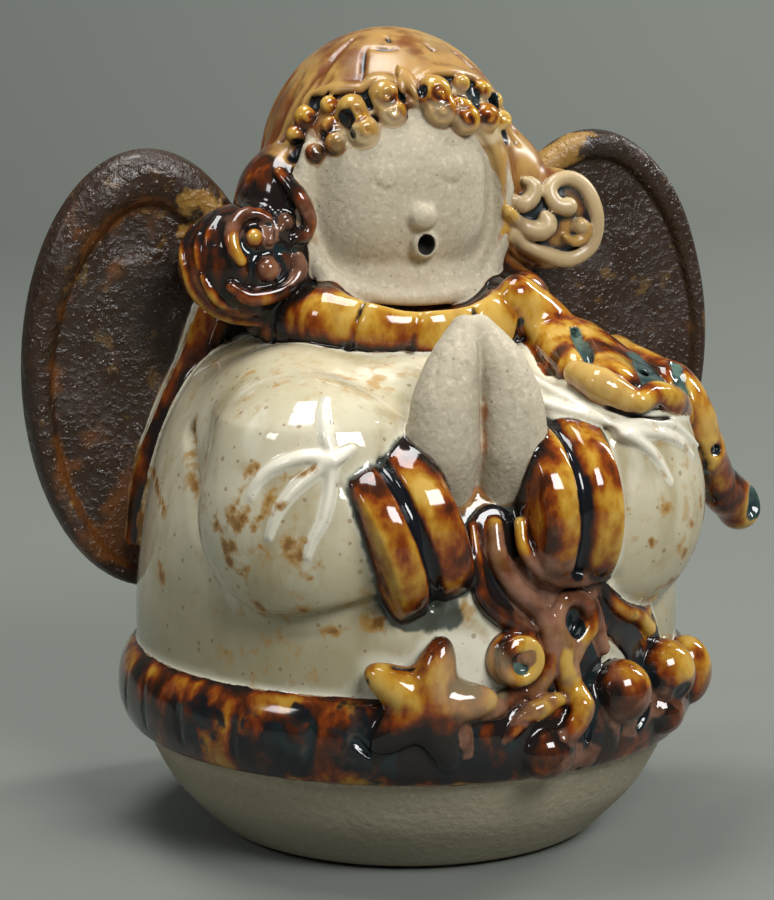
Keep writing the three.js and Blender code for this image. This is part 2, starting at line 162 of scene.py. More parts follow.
def lay_on(form, glaze, soft=1.0, soft_high=None, rising=(84, 100)):
    """Joins a form to the clay, rounded over soft mm: the smaller distance, less the overlap squared.
    With soft_high the rounding grows to that over the heights given. The glaze's own field follows."""
    cut, spots = window(form, max(soft, soft_high or 0) + MARGIN)
    here, there = clay[cut], form.away(*spots)
    if soft_high:
        soft = np.interp(spots[2], rising, (soft, soft_high))
    fillet = np.maximum(soft - abs(here - there), 0) ** 2 / (4 * soft)
    clay[cut] = np.minimum(here, there) - fillet
    finish[glaze][cut] = np.minimum(finish[glaze][cut], there - fillet)


def press(form, width, depth):
    """Presses the clay in by depth mm along a form, falling off as a bell of that half width; a depth
    below 0 swells it."""
    cut, spots = window(form, 3 * width)
    clay[cut] += depth * np.exp(-((np.maximum(form.away(*spots), 0) / width) ** 2))


def mark(kind, reach, strength, *forms):
    """Notes a mark on each form: its kind, how far it reaches past the form in mm, and its strength."""
    marks[kind] += [(form, reach, strength) for form in forms]


# Foot and body. A bare bowl-shaped foot and a full body, turned as one and paddled slightly out of true.
# The foot is left unglazed, and the body carries the cream glaze.
FOOT_OUTLINE = [(40, 0), (43.2, 1.1), (45.8, 3.2), (53.8, 11.8), (58.6, 20.5), (60.4, 24.5), (60, 28)]
BODY_OUTLINE = [(58, 26), (61.2, 34), (61.6, 44), (61.5, 57), (59.6, 73), (54.6, 90), (46, 104),
                (36, 110), (16, 115.5)]
LEAN_START, LEAN_RISE, LEAN = 60, 60, 10
# Degrees round, height, width and depth of each flat.
PADDLED = [(-72, 86, 9, 0.7), (-50, 52, 10, 0.5), (-96, 70, 12, 0.6), (18, 60, 9, 0.4), (80, 62, 12, 0.6),
           (140, 80, 14, 0.6), (-150, 60, 15, 0.6), (-64, 74, 5, -0.6)]


def curve(points, step):
    """A smooth path through points, a cubic between each two with its slopes taken from the neighbours,
    in even steps of about step mm."""
    given = np.array(points, float)
    ends = np.vstack([2 * given[0] - given[1], given, 2 * given[-1] - given[-2]])
    a, b, c, d = ends[:-3], ends[1:-2], ends[2:-1], ends[3:]
    t = np.linspace(0, 1, 12, endpoint=False)[:, None, None]
    bent = b + t / 2 * (c - a + t * (2 * a - 5 * b + 4 * c - d + t * (3 * b - a - 3 * c + d)))
    path = np.vstack([bent.transpose(1, 0, 2).reshape(-1, given.shape[1]), given[-1]])
    run = np.r_[0, np.cumsum(np.linalg.norm(np.diff(path, axis=0), axis=1))]
    even = np.linspace(0, run[-1], max(2, round(run[-1] / step) + 1))
    return np.stack([np.interp(even, run, column) for column in path.T], 1)


def egg(centre, halves, square=2.0, turn=0.0):
    """The distance to an egg of three half axes: with q the spot over the halves and m its length, or a
    fuller measure where square is over 2, (m - 1) times q's length over that of q over the halves."""
    halves = np.array(halves, float)
    cos, sin = np.cos(np.radians(turn)), np.sin(np.radians(turn))

    def away(x, y, z):
        x, y, z = x - centre[0], y - centre[1], z - centre[2]
        a, b, c = (x * cos + y * sin) / halves[0], (y * cos - x * sin) / halves[1], z / halves[2]
        size = np.sqrt(a * a + b * b + c * c) + 1e-6
        full = size
        if square > 2:
            fuller = abs(a / size) ** square + abs(c / size) ** square + (b / size) ** 2
            full = size * fuller ** (1 / square)
        slope = np.sqrt((a / halves[0]) ** 2 + (b / halves[1]) ** 2 + (c / halves[2]) ** 2) + 1e-6
        return (full - 1) * size / slope

    reach = np.array([halves[:2].max()] * 2 + [halves[2]]) if turn else halves
    return Form(away, centre - reach, centre + reach)


def read(table, starts, step, spots):
    """A table read between its points: the mean of the points round each spot, by how near they are."""
    places = [np.clip((spot - start) / step, 0, size - 1.001)
              for spot, start, size in zip(spots, starts, table.shape)]
    whole = [place.astype(np.int32) for place in places]
    part = [place - base for place, base in zip(places, whole)]
    total = 0
    for corner in np.ndindex(*[2] * table.ndim):
        weight = 1
        for share, side in zip(part, corner):
            weight = weight * (share if side else 1 - share)
        total = total + weight * table[tuple(base + side for base, side in zip(whole, corner))]
    return total


def turned(outline, centre=(0, 0, 0), axis=(0, 0, 1), lean=None):
    """The distance to a form turned about an axis, from its outline of radius against height, which
    starts and ends on the axis. A fine table holds the flat distance to the outline, and each spot reads
    it at its own radius and height. lean pushes the form back by a function of the height."""
    fine = 0.25
    edge = np.array(outline, float)
    centre, axis = np.array(centre, float), np.array(axis, float) / np.linalg.norm(axis)
    room = MARGIN + 10
    radii = np.arange(0, edge[:, 0].max() + room, fine)
    heights = np.arange(edge[:, 1].min() - room, edge[:, 1].max() + room, fine)
    r, h = np.meshgrid(radii, heights, indexing="ij")
    nearest, inside = np.full(r.shape, 1e3), np.zeros(r.shape, bool)
    for (r0, h0), (r1, h1) in zip(edge, edge[1:]):
        run = np.array([r1 - r0, h1 - h0])
        t = np.clip(((r - r0) * run[0] + (h - h0) * run[1]) / max(run @ run, 1e-9), 0, 1)
        nearest = np.minimum(nearest, np.hypot(r - r0 - t * run[0], h - h0 - t * run[1]))
        if h0 != h1:
            crossed = ((h >= min(h0, h1)) & (h < max(h0, h1)))
            inside ^= crossed & (r < r0 + (h - h0) * (r1 - r0) / (h1 - h0))
    table = np.where(inside, -nearest, nearest).astype(np.float32)

    def away(x, y, z):
        x, y, z = x - centre[0], y - centre[1], z - centre[2]
        if lean:
            y = y - lean(z)
        height = x * axis[0] + y * axis[1] + z * axis[2]
        radius = np.sqrt(np.maximum(x * x + y * y + z * z - height**2, 0))
        return read(table, (0, heights[0]), fine, (radius, height))

    tall, wide = edge[:, 1], edge[:, 0].max()
    spread = wide * np.sqrt(1 - axis**2)
    ends = np.stack([centre + axis * tall.min(), centre + axis * tall.max()])
    low, high = ends.min(0) - spread, ends.max(0) + spread
    if lean:
        high[1] += lean(tall.max())
    return Form(away, low, high)


def lean_back(z):
    """How far back the turned form's axis stands, growing as the square of the height over its start."""
    return LEAN * (np.maximum(z - LEAN_START, 0) / LEAN_RISE) ** 2


def closed(outline, floor, top):
    """An outline smoothed and brought in to the axis at both ends."""
    return np.vstack([(0, floor), curve(outline, 1.5), (0, top)])


body = turned(closed(BODY_OUTLINE, 26, 116), lean=lean_back)
lay_on(turned(closed(FOOT_OUTLINE, 0, 28)), "bare")
lay_on(body, "cream")


def on_body(degrees, z, lift=0.0):
    """A spot on the body: degrees round from the front towards +x, height, and how far it stands out."""
    radii, heights = np.array(BODY_OUTLINE).T
    a, r = np.radians(degrees), np.interp(z, heights, radii) + lift
    return np.stack(np.broadcast_arrays(r * np.sin(a), lean_back(z) - r * np.cos(a), z), -1)


for around, height, width, depth in PADDLED:
    press(egg(on_body(around, height), (1, 1, 1)), width, depth)


# The hem band. A strip of clay wrapped round the foot of the robe, thick enough to stand out and undercut
# below, and nicked with upright strokes into tufts of fur.
HEM_OUTLINE = [(57, 24.6), (61.5, 24.4), (64, 26.2), (65.8, 31), (65.6, 37), (63.6, 41.6), (61, 43.2),
               (57, 43.2)]
HEM_NICKS = [-140, -112, -90, -79, -65.8, -64.4, -50.7, -35.2, 26.5, 80, 101, 118, 140, 163, 182]
DEEP_NICKS = [-35.2, -50.7]
NICK_RADIUS = 66
NICK_HEIGHTS = np.array([43.4, 37, 30, 23.5])


def strand(points, width=0, height=None, out=None, step=1.4):
    """The distance to a roll of clay along a path: that to the nearest spot of each short piece of its
    middle line, less the half width there, 0 for a line. With a height it is that high along out, a
    direction or a function of the spot: the offset over the halves, less 1, times the smaller of them."""
    path = curve(points, step)
    share = np.linspace(0, 1, len(path))
    wide, tall = (np.interp(share, np.linspace(0, 1, np.size(size)), np.atleast_1d(size)) / 2
                  for size in (width, width if height is None else height))

    def away(x, y, z):
        nearest = np.float32(1000)
        for a, b, w0, w1, h0, h1 in zip(path, path[1:], wide, wide[1:], tall, tall[1:]):
            run = b - a
            x0, y0, z0 = x - a[0], y - a[1], z - a[2]
            t = np.clip((x0 * run[0] + y0 * run[1] + z0 * run[2]) / (run @ run), 0, 1)
            x0, y0, z0 = x0 - t * run[0], y0 - t * run[1], z0 - t * run[2]
            square = x0 * x0 + y0 * y0 + z0 * z0
            w = w0 + (w1 - w0) * t
            if height is None:
                gap = np.sqrt(square) - w
            else:
                up = np.array(out(a) if callable(out) else out, float)
                up -= (up @ run) / (run @ run) * run
                up /= np.linalg.norm(up)
                rise = (x0 * up[0] + y0 * up[1] + z0 * up[2]) ** 2
                h = h0 + (h1 - h0) * t
                gap = (np.sqrt((square - rise).clip(0) / w**2 + rise / h**2) - 1) * np.minimum(w, h)
            nearest = np.minimum(nearest, gap)
        return nearest

    reach = max(wide.max(), tall.max())
    return Form(away, path.min(0) - reach, path.max(0) + reach)


def score(form, width, depth, reach, strength=1, kind="ink"):
    """Presses a line into the clay and marks the glaze that pooled in it."""
    press(form, width, depth)
    mark(kind, reach, strength, form)


lay_on(turned([HEM_OUTLINE[0], *curve(HEM_OUTLINE, 1), HEM_OUTLINE[0]]), "amber", 0.7)
for k, degrees in enumerate(HEM_NICKS):
    sway = np.radians(degrees + 0.9 * np.sin(k + NICK_HEIGHTS / 6))
    nick = strand(np.stack([NICK_RADIUS * np.sin(sway), -NICK_RADIUS * np.cos(sway), NICK_HEIGHTS], 1))
    score(nick, *((0.9, 1.5, 1.3) if degrees in DEEP_NICKS else (0.6, 0.8, 0.6)))


# Sleeves. Two full bags of clay hang from the shoulders and run forward to the wrists; the tops are
# smoothed into the body. Creases pulled up with a tool spread from the crook of each arm.
SLEEVE_CENTRE = np.array([32, -39, 79.0])
SLEEVE_HALVES = (25.5, 21, 26.5)
RIGHT_CREASES = [
    [(-34, 95.5), (-34.6, 98.3), (-34.3, 102.7), (-32.6, 106)],
    [(-35, 95), (-38.5, 95), (-41.6, 94.3), (-45.2, 92.4), (-48, 89.4), (-49.2, 86.5)],
    [(-35.5, 94), (-37.5, 92), (-40.9, 89.1), (-44, 85.4), (-45.6, 81.9), (-46.6, 78.5)],
    [(-34.2, 93.5), (-34.6, 90), (-35.2, 86.6), (-36.6, 82.2), (-38.6, 78.1), (-39.6, 74.7)],
    [(-34, 94.6), (-31.6, 95.4), (-29.6, 96.6)],
]
LEFT_CREASES = [
    [(29.2, 98.2), (35.5, 98.9), (42.7, 97.6), (48, 94.2), (51.5, 91.5)],
    [(29.8, 97.4), (38.5, 96.2), (44.7, 93.6), (49, 90)],
    [(29.4, 97), (34.4, 94.2), (37.8, 90.8), (40.8, 86)],
    [(12.5, 103.4), (21, 101), (25.4, 99.6), (28.8, 98.2)],
    [(14, 108.5), (20, 103.8), (26.3, 99.9)],
]
ARM_PIT = [(-51.5, -8, 93), (-52.6, -13, 89), (-54, -18.5, 82), (-55.6, -24.5, 76), (-56, -31, 69),
           (-52.6, -37.5, 63), (-46.5, -43.5, 59), (-40, -49.5, 59.6), (-33.7, -53.6, 61.2), (-26, -56, 63.2),
           (-20, -57, 64.4)]
ARM_PIT_RUST = [(-50.5, -8, 94), (-52.4, -13, 89), (-53.4, -17, 84)]


def laid(spots, lift=0.0, step=1.0, furthest=60.0):
    """A smooth line through (x, z) spots, laid on the front of the clay as it stands: y is where each
    column of the grid, read from the front, first goes below 0, but no further back than a most. lift
    brings it forward."""
    flat = curve(spots, step)
    columns = [np.clip(np.rint((flat[:, k] - axes[2 * k][0]) / STEP).astype(int), 0, len(axes[2 * k]) - 1)
               for k in (0, 1)]
    depth = clay[columns[0], :, columns[1]]
    first = np.maximum(np.argmax(depth < 0, axis=1), 1)
    row = np.arange(len(flat))
    inside, outside = depth[row, first], depth[row, first - 1]
    y = axes[1][first] - STEP * inside / np.minimum(inside - outside, -1e-3)
    y = np.minimum(np.where(inside < 0, y, furthest), furthest)
    smooth = np.convolve(np.pad(y, 2, "edge"), np.full(5, 0.2), "valid")
    return np.stack([flat[:, 0], smooth - lift, flat[:, 1]], 1)


for side in (-1, 1):
    lay_on(egg((side * 32, -17, 91), (17.5, 18.5, 20)), "cream", 9)
    lay_on(egg(SLEEVE_CENTRE * (side, 1, 1), SLEEVE_HALVES, turn=side * 28), "cream", 1.6, 13)
for crease in RIGHT_CREASES + LEFT_CREASES:
    ridge = strand(laid(crease, step=1.2), (2.2, 1.9, 0.7), (3.2, 2.8, 1), (0, -1, 0), step=1.5)
    lay_on(ridge, "cream", 1.1)
    mark("pale", 0.7, 1, ridge)
# The seam under the right sleeve is pressed in and painted dark: painted shade in the crease, partly dark
# glaze.
score(strand(ARM_PIT), 2.0, 2.2, 1.0, 0.6, "edge")
mark("rust", 2.4, 0.75, strand(ARM_PIT_RUST))


# Cuffs. Each is a fat turned-back roll round the wrist, scored deep round its middle so that it reads as
# two rolls, and scored again where it meets the sleeve. The glaze ran dark and pink into the lap below them;
# the near-black patches under the left cuff and under the hands are painted shade, the first partly pooled
# glaze.
CUFF_RADIUS = 19
CUFF_OUTLINE = [(0.6, -9.4), (0.93, -8.4), (1, -5.5), (1, -2), (0.94, 0.2), (0.99, 2.6), (1, 6.4),
                (0.94, 9.6), (0.66, 11)]
# Middle, axis, and where along it the roll is scored.
CUFFS = [((-18.3, -49.4, 77.4), (0.93, 0.05, 0.34), 0.2), ((16.8, -49.4, 81), (-0.97, -0.12, -0.04), 1.2)]
for middle, axis, score_at in CUFFS:
    outline = np.array(CUFF_OUTLINE) * (CUFF_RADIUS, 1)
    cuff = turned(closed(outline, -9.4, 11), middle, axis)
    lay_on(cuff, "amber", 0.6)
    mark("edge", 1.1 if axis[0] > 0 else 0.5, 1, cuff)
    bare_axis = np.array(axis) / np.linalg.norm(axis)
    first = np.cross(bare_axis, (0, 0, 1))
    first /= np.linalg.norm(first)
    second = np.cross(bare_axis, first)
    spin = np.linspace(0, 2 * np.pi, 30)[:, None]
    loop = middle + 0.95 * CUFF_RADIUS * (first * np.cos(spin) + second * np.sin(spin))
    score(strand(loop + score_at * bare_axis, step=2), 1.3, 1.2, 2.0)
    score(strand(loop - 9.6 * bare_axis, step=2), 1.0, 0.6, 1.2)
    mark("depth", 4, 0.3, egg(np.array(middle) + (0, 0, -CUFF_RADIUS), (16, 20, 5)))
    mark("depth", 2.2, 0.32, strand(loop + 9 * bare_axis, step=2))
# A dark patch under the left cuff: painted shadow, partly pooled glaze.
mark("edge", 1.3, 1.3, egg(on_body(-12.7, 60.6), (6, 3, 1.7)))
# A dark patch under the hands: painted shade.
mark("edge", 2.4, 1.2, egg(on_body(2, 77, 2), (8, 5, 5)))
mark("rust", 3, 0.5, egg(on_body(-16, 61), (9, 3, 2)))
mark("depth", 6, 0.2, strand([(-9, -68, 84), (-7.4, -66, 74), (-5, -62, 64)]))
mark("pink", 3, 0.9, egg((11, -64, 66), (6, 6, 7)))


# Hands. Two long almond shapes of bare clay pressed together in prayer, leaning back to the chest, with
# a few finger lines pressed in near the tips.
HANDS_MIDDLE = -1.5
PALM = [(1.6, -50.4, 119.4), (4.9, -53, 112.5), (6.9, -54, 104.5), (7.4, -53.8, 95.5), (6.2, -50.5, 87.5)]
PALM_WIDTHS = (6, 10.8, 14.2, 15.6, 13.6)
PALM_THICKNESSES = (8, 13, 16, 17, 14.5)
PALM_SEAM = [(0, -57, 107), (0, -58, 98), (0, -57, 90), (0, -54, 84)]
PALM_HEEL = [(0, -54, 83.6), (5, -56, 80.6), (11, -53, 84)]
FINGER_LINES = [
    [(-8.6, 119), (-10.8, 114.5), (-12.6, 109)],
    [(-6.8, 120.6), (-8.4, 115.5), (-9.4, 110)],
    [(-5.2, 121), (-6, 116.5), (-6.2, 111)],
    [(1.4, 119.6), (2.6, 114), (3, 109)],
]


def hand_line(spots, side=1):
    """Spots given from between the hands towards a side, in the figure's own place."""
    return np.array(spots) * (side, 1, 1) + (HANDS_MIDDLE, 0, 0)


for side in (-1, 1):
    lay_on(strand(hand_line(PALM, side), PALM_WIDTHS, PALM_THICKNESSES, (0, -1, 0)), "bare", 0.7)
mark("rust", 1.2, 1, strand(hand_line(PALM_SEAM)))
mark("rust", 2.2, 0.9, strand(hand_line(PALM_HEEL, -1)), strand(hand_line(PALM_HEEL)))
for line in FINGER_LINES:
    press(strand(laid(line)), 0.55, 0.4)


# Collar. A padded roll round the neck, cut through from top to bottom where its folds meet, on a flat neck
# that closes it under the chin.
COLLAR_CENTRE = np.array([0, 9.5, 118])
COLLAR_RADIUS = 27.5
COLLAR_TUBE = 8.3
COLLAR_TILT = 0.1
COLLAR_REACH = (COLLAR_RADIUS + COLLAR_TUBE, COLLAR_RADIUS + COLLAR_TUBE, 11)
COLLAR_CUTS = [-32, -10, 12, 34, 62, 90, 118, 146, 174, -154, -126, -98, -66]


def collar_spot(degrees, round_tube):
    """A spot on the roll: degrees round the neck from the front, and degrees round the tube from out."""
    a, b = np.radians(degrees), np.radians(round_tube)
    r = COLLAR_RADIUS + COLLAR_TUBE * np.cos(b)
    y, z = -r * np.cos(a), COLLAR_TUBE * np.sin(b)
    return COLLAR_CENTRE + [r * np.sin(a), y * np.cos(COLLAR_TILT) - z * np.sin(COLLAR_TILT),
                            y * np.sin(COLLAR_TILT) + z * np.cos(COLLAR_TILT)]


def collar_away(x, y, z):
    """The distance to a ring tilted down at the front, swollen a little between its cuts."""
    x, y, z = x - COLLAR_CENTRE[0], y - COLLAR_CENTRE[1], z - COLLAR_CENTRE[2]
    cos, sin = np.cos(COLLAR_TILT), np.sin(COLLAR_TILT)
    y, z = y * cos + z * sin, z * cos - y * sin
    swell = 0.35 * np.cos(np.arctan2(x, -y) * 15)
    return np.hypot(np.hypot(x, y) - COLLAR_RADIUS, z) - COLLAR_TUBE - swell


lay_on(Form(collar_away, COLLAR_CENTRE - COLLAR_REACH, COLLAR_CENTRE + COLLAR_REACH), "amber", 0.8)
lay_on(egg((0, 5, 119.8), (28.5, 25.5, 5.8)), "amber", 2)
mark("depth", 2, 0.3, egg((0, 0, 125), (24, 16, 1)))
for degrees in COLLAR_CUTS:
    score(strand([collar_spot(degrees + 0.05 * b, b) for b in (110, 60, 10, -40, -80)]), 0.75, 1.3, 0.9)


# Scarf. The collar's loose end runs over the left shoulder and sleeve, folded into fat segments, to a
# flared tip with a dimple in it; a short lobe curls out below its start, over a curl along its lower side.
# Spots, widths and thickness of each fold, from the collar down.
SCARF_FOLDS = [
    ([(23.6, -6, 119.6), (27.2, -11, 116.4), (30, -17, 111.5), (31, -25, 105.4)], (10, 13, 13.6, 10.5), 9.5),
    ([(35.4, -15.5, 110.6), (36.4, -20.5, 107.2), (37.6, -26.6, 102.8)], (13, 14.4, 12.4), 9.5),
    ([(47.4, -13, 106.6), (51.4, -17.6, 102.6), (55.6, -22.4, 97.4)], (12, 15.4, 14.4), 9.5),
    ([(58.6, -17, 99.6), (62, -19.6, 93), (65.2, -18.4, 86)], (13, 14.4, 13), 9),
    ([(66.4, -17, 84.8), (70, -13.6, 79), (74, -9.4, 73.4)], (12, 11, 10.4), 8.5),
]
FOLD_GAPS = [((33.2, -14.5, 115.6), (32.6, -21, 111), (33.4, -27.4, 104.6)),
             ((59.8, -12, 104), (58.6, -19, 101), (57.6, -25, 96.6), (58.4, -27.4, 92.6)),
             ((70.4, -11, 87.4), (67.6, -17.6, 84.6), (63.6, -23, 82.6))]
SCARF_WEB = [(40.6, -15, 106), (44, -19.4, 103.4), (46.6, -25.6, 99)]
WEB_POOL = [(42.6, -13, 108.4), (44.8, -19.4, 105), (45.4, -27.6, 101)]
SCARF_KNOT = (25.4, -4.6, 120.6)
KNOT_FOLD = [(18.4, -15, 119.8), (22, -15.6, 119.2), (26, -13.4, 117.8)]
SHORT_LOBE = [(28.6, -29.6, 105.4), (33.4, -32, 102.6), (38.6, -33.2, 99.6)]
LOWER_CURL = [(40.4, -36, 99.6), (44.6, -33.6, 100.6), (50, -30.6, 98.4), (55.6, -27.4, 94.6)]
CURL_GAP = [(43.6, -29.6, 104), (48.6, -29, 102.2), (53.4, -28, 99)]
UNDER_SCARF = [(34, -34.6, 98.6), (39, -36.4, 96.8), (47, -36, 95.4), (55, -31.6, 91.6), (61.6, -26.6, 85.6),
               (65, -22, 78)]
SCARF_END = [(73, -10.4, 74.6), (77, -7.6, 71.4), (79.6, -6, 68.6)]
TO_VIEWER = np.array([-0.29, -0.94, 0.17])


def out_of_scarf(spot):
    """The way out of the scarf: away from a line inside the shoulder."""
    return np.array([spot[0] - 20, spot[1] - 18, 34.0])


def forward(spots, lift=0.0):
    """Spots slid along the line of sight until they stand lift mm off the clay as it is."""
    spots = np.array(spots, float)
    for _ in range(10):
        gap = read(clay, grid_start, STEP, spots.T)
        spots = spots + 0.8 * (lift - gap)[:, None] * TO_VIEWER
    return spots


def cut_out(form, soft=0.6):
    """Takes a form out of the clay: the larger of the clay's distance and minus the form's, rounded."""
    cut, spots = window(form, soft + MARGIN)
    here, there = clay[cut], -form.away(*spots)
    overlap = np.maximum(soft - abs(here - there), 0)
    clay[cut] = np.maximum(here, there) + overlap**2 / (4 * soft)
    for field in finish.values():
        field[cut] = np.maximum(field[cut], there)


routes = [forward(spots, 0.6) for spots, _, _ in SCARF_FOLDS[:3]] + [spots for spots, _, _ in SCARF_FOLDS[3:]]
link = [routes[2][1], routes[2][0], *SCARF_FOLDS[3][0][:2]]
lay_on(strand(link, (8, 12, 13, 11), 9, out_of_scarf, step=2.5), "amber", 2)
web_route = forward(SCARF_WEB, 0.2)
for route, (_, width, thickness) in zip(routes, SCARF_FOLDS):
    lay_on(strand(route, width, thickness, out_of_scarf, step=2.5), "amber", 1.2)
lay_on(strand(web_route, (10, 11, 8), 6, out_of_scarf, step=2.5), "amber", 4)
mark("teal", 1.8, 1.1, strand(forward(WEB_POOL), (6, 8, 7)))
for spots, kind in zip(FOLD_GAPS, ("teal", "teal", "ink")):
    score(strand(forward(spots)), 1.2, 1.7, 1.6, 1.2, kind)
lay_on(egg(SCARF_KNOT, (6.4, 5.8, 5.4)), "amber", 0.5)
mark("pink", 1, 0.8, egg(SCARF_KNOT, (6, 6, 4)))
lay_on(strand(KNOT_FOLD, (2.4, 3.6, 3)), "amber", 0.4)
short_lobe = strand(forward(SHORT_LOBE, 1), (5.6, 7.6, 6.4))
lay_on(short_lobe, "amber", 0.8)
mark("pale", 1, 0.85, short_lobe)
lower_curl = forward(LOWER_CURL, 1)
curl_gap = strand(forward(CURL_GAP))
lay_on(strand(lower_curl, (5, 7, 7.4, 6.4)), "amber", 0.6)
score(curl_gap, 1.2, 1.8, 1.5, 1.3)
score(strand(forward(UNDER_SCARF)), 1.0, 0.6, 1.1, 1, "shade")
lay_on(strand(SCARF_END, (10, 10.6, 10.4)), "amber", 1.5)
lay_on(egg((78.8, -7, 70.8), (5, 5, 4.4)), "amber", 1.2)
tip_dimple = egg((82.2, -11, 70.6), (2.4, 3.6, 4.2))
cut_out(tip_dimple, 1.4)
mark("teal", 1.2, 1, tip_dimple)


# Head. A smooth cap of hair over the skull, fuller at the nape and over the ears. Locks are drawn in it
# with a point, from the crown down, and their lines hold dark glaze.
HEAD_HALVES = np.array([29.5, 33, 33.4])
HEAD_CENTRE = np.array([2, 21, 146.6])
CROWN_LINES = [
    [(-8, 177.3), (-12.8, 173.9), (-17.2, 169.8)],
    [(-7.1, 175.8), (-8.6, 173), (-10.4, 168.4)],
    [(-1.8, 178.6), (-1.4, 176.4)],
    [(5.7, 177.4), (7.7, 174.9)],
    [(14.2, 174.4), (17.6, 170.9)],
    [(-5.8, 175.8), (-3.9, 175.2), (-1.5, 175.4)],
]
BACK_LOCKS = range(60, 301, 20)
SIDE_LOCKS = [(-52, 44, -62, -4), (-62, 52, -72, 4), (-74, 40, -82, -6), (50, 40, 58, 8), (64, 50, 72, 6)]


def on_head(around, up, lift=0.0):
    """A spot on the hair: degrees round from the front towards +x, degrees up, and its lift."""
    a, e = np.radians(around), np.radians(up)
    way = np.array([np.cos(e) * np.sin(a), -np.cos(e) * np.cos(a), np.sin(e)])
    return HEAD_CENTRE + way * (1 / np.linalg.norm(way / HEAD_HALVES) + lift)


lay_on(egg(HEAD_CENTRE, HEAD_HALVES), "amber", 0.8)
lay_on(egg((0, 22, 133), (34, 30.5, 20.5)), "amber", 7)
lay_on(egg((-27, 12, 141), (8.5, 12, 12)), "amber", 6)
lay_on(egg((29, 12, 146), (7, 11, 9)), "amber", 6)
for line in CROWN_LINES:
    score(strand(laid(line)), 0.6, 0.9, 0.55)
for k, around in enumerate(BACK_LOCKS):
    fall = [on_head(around + 6 * t, 62 - 8 * (k % 3) - 78 * t, 0.2) for t in (0, 0.33, 0.66, 1)]
    score(strand(fall), 0.9, 0.8, 0.4)
for around, up, around_end, up_end in SIDE_LOCKS:
    bend = on_head((around + around_end) / 2 - 2, (up + up_end) / 2, 0.3)
    score(strand([on_head(around, up, 0.2), bend, on_head(around_end, up_end, 0.4)]), 1.0, 0.9, 0.45)


# Face. A full-cheeked pillow of bare clay on a bare sheet whose edge is turned up all round against the
# hair: closed eyes drawn as two arcs, a ball for a nose, and a small ring pressed open for a mouth.
FACE_EDGE = [(-22.6, 0.6, 154), (-24.2, 0, 147), (-24.4, 0.4, 139.6), (-23.4, -0.4, 132.6),
             (-20.4, -3.6, 127), (-14.6, -7.4, 123.2), (-6, -10.4, 121.4), (3, -10.8, 121.2), (11, -9, 122.4),
             (16.8, -5, 125.6), (20.4, -2, 130.4), (21.9, -1, 137), (22, -1.4, 144), (21, -1.6, 151)]
FACE_EDGE_WIDTHS = (2.6, 3.2, 3.4, 3.2, 3, 3, 3, 3.2, 3.6, 3.8, 2.6)
EYE_LINES = [[(-11.2, 147.3), (-10.2, 146), (-8.4, 145.4), (-6.6, 145.8), (-5.4, 147.2)],
             [(4.4, 147.8), (5.6, 146.8), (7.3, 146.3), (9, 146.9), (10, 148.2)]]
MOUTH = np.array([0.6, -11.8, 133.2])
LIPS = [(0.2, -3), (3.1, -3), (3.2, 0.2), (2.8, 1.3), (2.1, 1.3), (1.5, 0)]
CHEEK_LINES = [[(4.6, 137.8), (7.6, 136.8), (10.8, 135.2)], [(5.6, 139.2), (9.6, 138.6)],
               [(6, 136), (9, 134.4)]]
cut_out(egg((-1.2, -12, 140.7), (24.8, 24, 23.8)), 1.2)
lay_on(egg((-1.2, 11, 141), (24.4, 13, 22.6)), "bare", 1)
lay_on(strand(FACE_EDGE, FACE_EDGE_WIDTHS), "bare", 3)
lay_on(egg((-0.8, 6, 140.6), (22.6, 9.6, 21.6), square=4), "bare", 3)
lay_on(egg((0, 1, 125.4), (17, 10.6, 5.4)), "bare", 4)
lay_on(egg((-0.8, 13.2, 142.4), (22.6, 25.6, 21.2), square=2.8), "bare", 2.6)
lay_on(egg((0, 6, 151.5), (19, 15.6, 14)), "bare", 5)
for line in EYE_LINES:
    lid = laid(line)[len(line)]
    press(egg(lid + [0, 0.5, 2.6], (2.4, 1, 1)), 2.2, -0.4)
    press(strand(laid(line)), 0.45, 0.55)
press(egg((0.4, -9, 127.6), (2, 1, 1)), 4.5, -0.5)
lay_on(egg((-0.3, -12.2, 139.3), (3.2, 3.1, 3.1)), "bare", 1.1)
lay_on(turned(closed(LIPS, -3, 0), MOUTH, (0, -1, -0.08)), "bare", 0.5)
mouth_hole = egg(MOUTH + [0, -0.4, 0.1], (1.75, 3.6, 2.1))
cut_out(mouth_hole, 0.3)
mark("shade", 0.35, 1.4, mouth_hole)
for line in CHEEK_LINES:
    press(strand(laid(line)), 0.4, 0.16)


# Fringe. The edge of the hair sheet turns up over a row of small curls, each a ball of clay scored into a
# winding, with dark gaps between them and a leaf-shaped tuft at the parting.
HAIR_EDGES = [[(-21, 163.6), (-19.6, 165.2), (-16.6, 166.2), (-13, 166.7), (-10.4, 166.8), (-8.8, 168.4),
               (-6.2, 168.9), (-3.8, 167.8)],
              [(1.8, 168.6), (4.6, 170.2), (8.4, 170.2), (13, 169.6), (17.8, 167.8), (21.6, 165)]]
# x, z and radius of each curl.
RINGLETS = [(-6.9, 165.5, 3.5), (-5.2, 161.9, 3.3), (-13.5, 162, 3.9), (-11.8, 157.9, 3.5), (-17.5, 163.4, 2),
            (-18, 158.6, 2.4), (-21.6, 160.4, 2.9), (-24.2, 156.4, 2.3), (-17.6, 155.4, 2.4), (-21.6, 153, 2),
            (4.4, 166, 3.9), (5.6, 162.4, 3.8), (11.8, 167.8, 2.1), (11, 163.9, 2.3), (17.7, 166, 2.4),
            (11.4, 160.2, 3.4), (17, 160.2, 3.4), (21.2, 163.6, 2.2), (22.4, 159.2, 2.5)]
LIGHT_FROM_X = -16
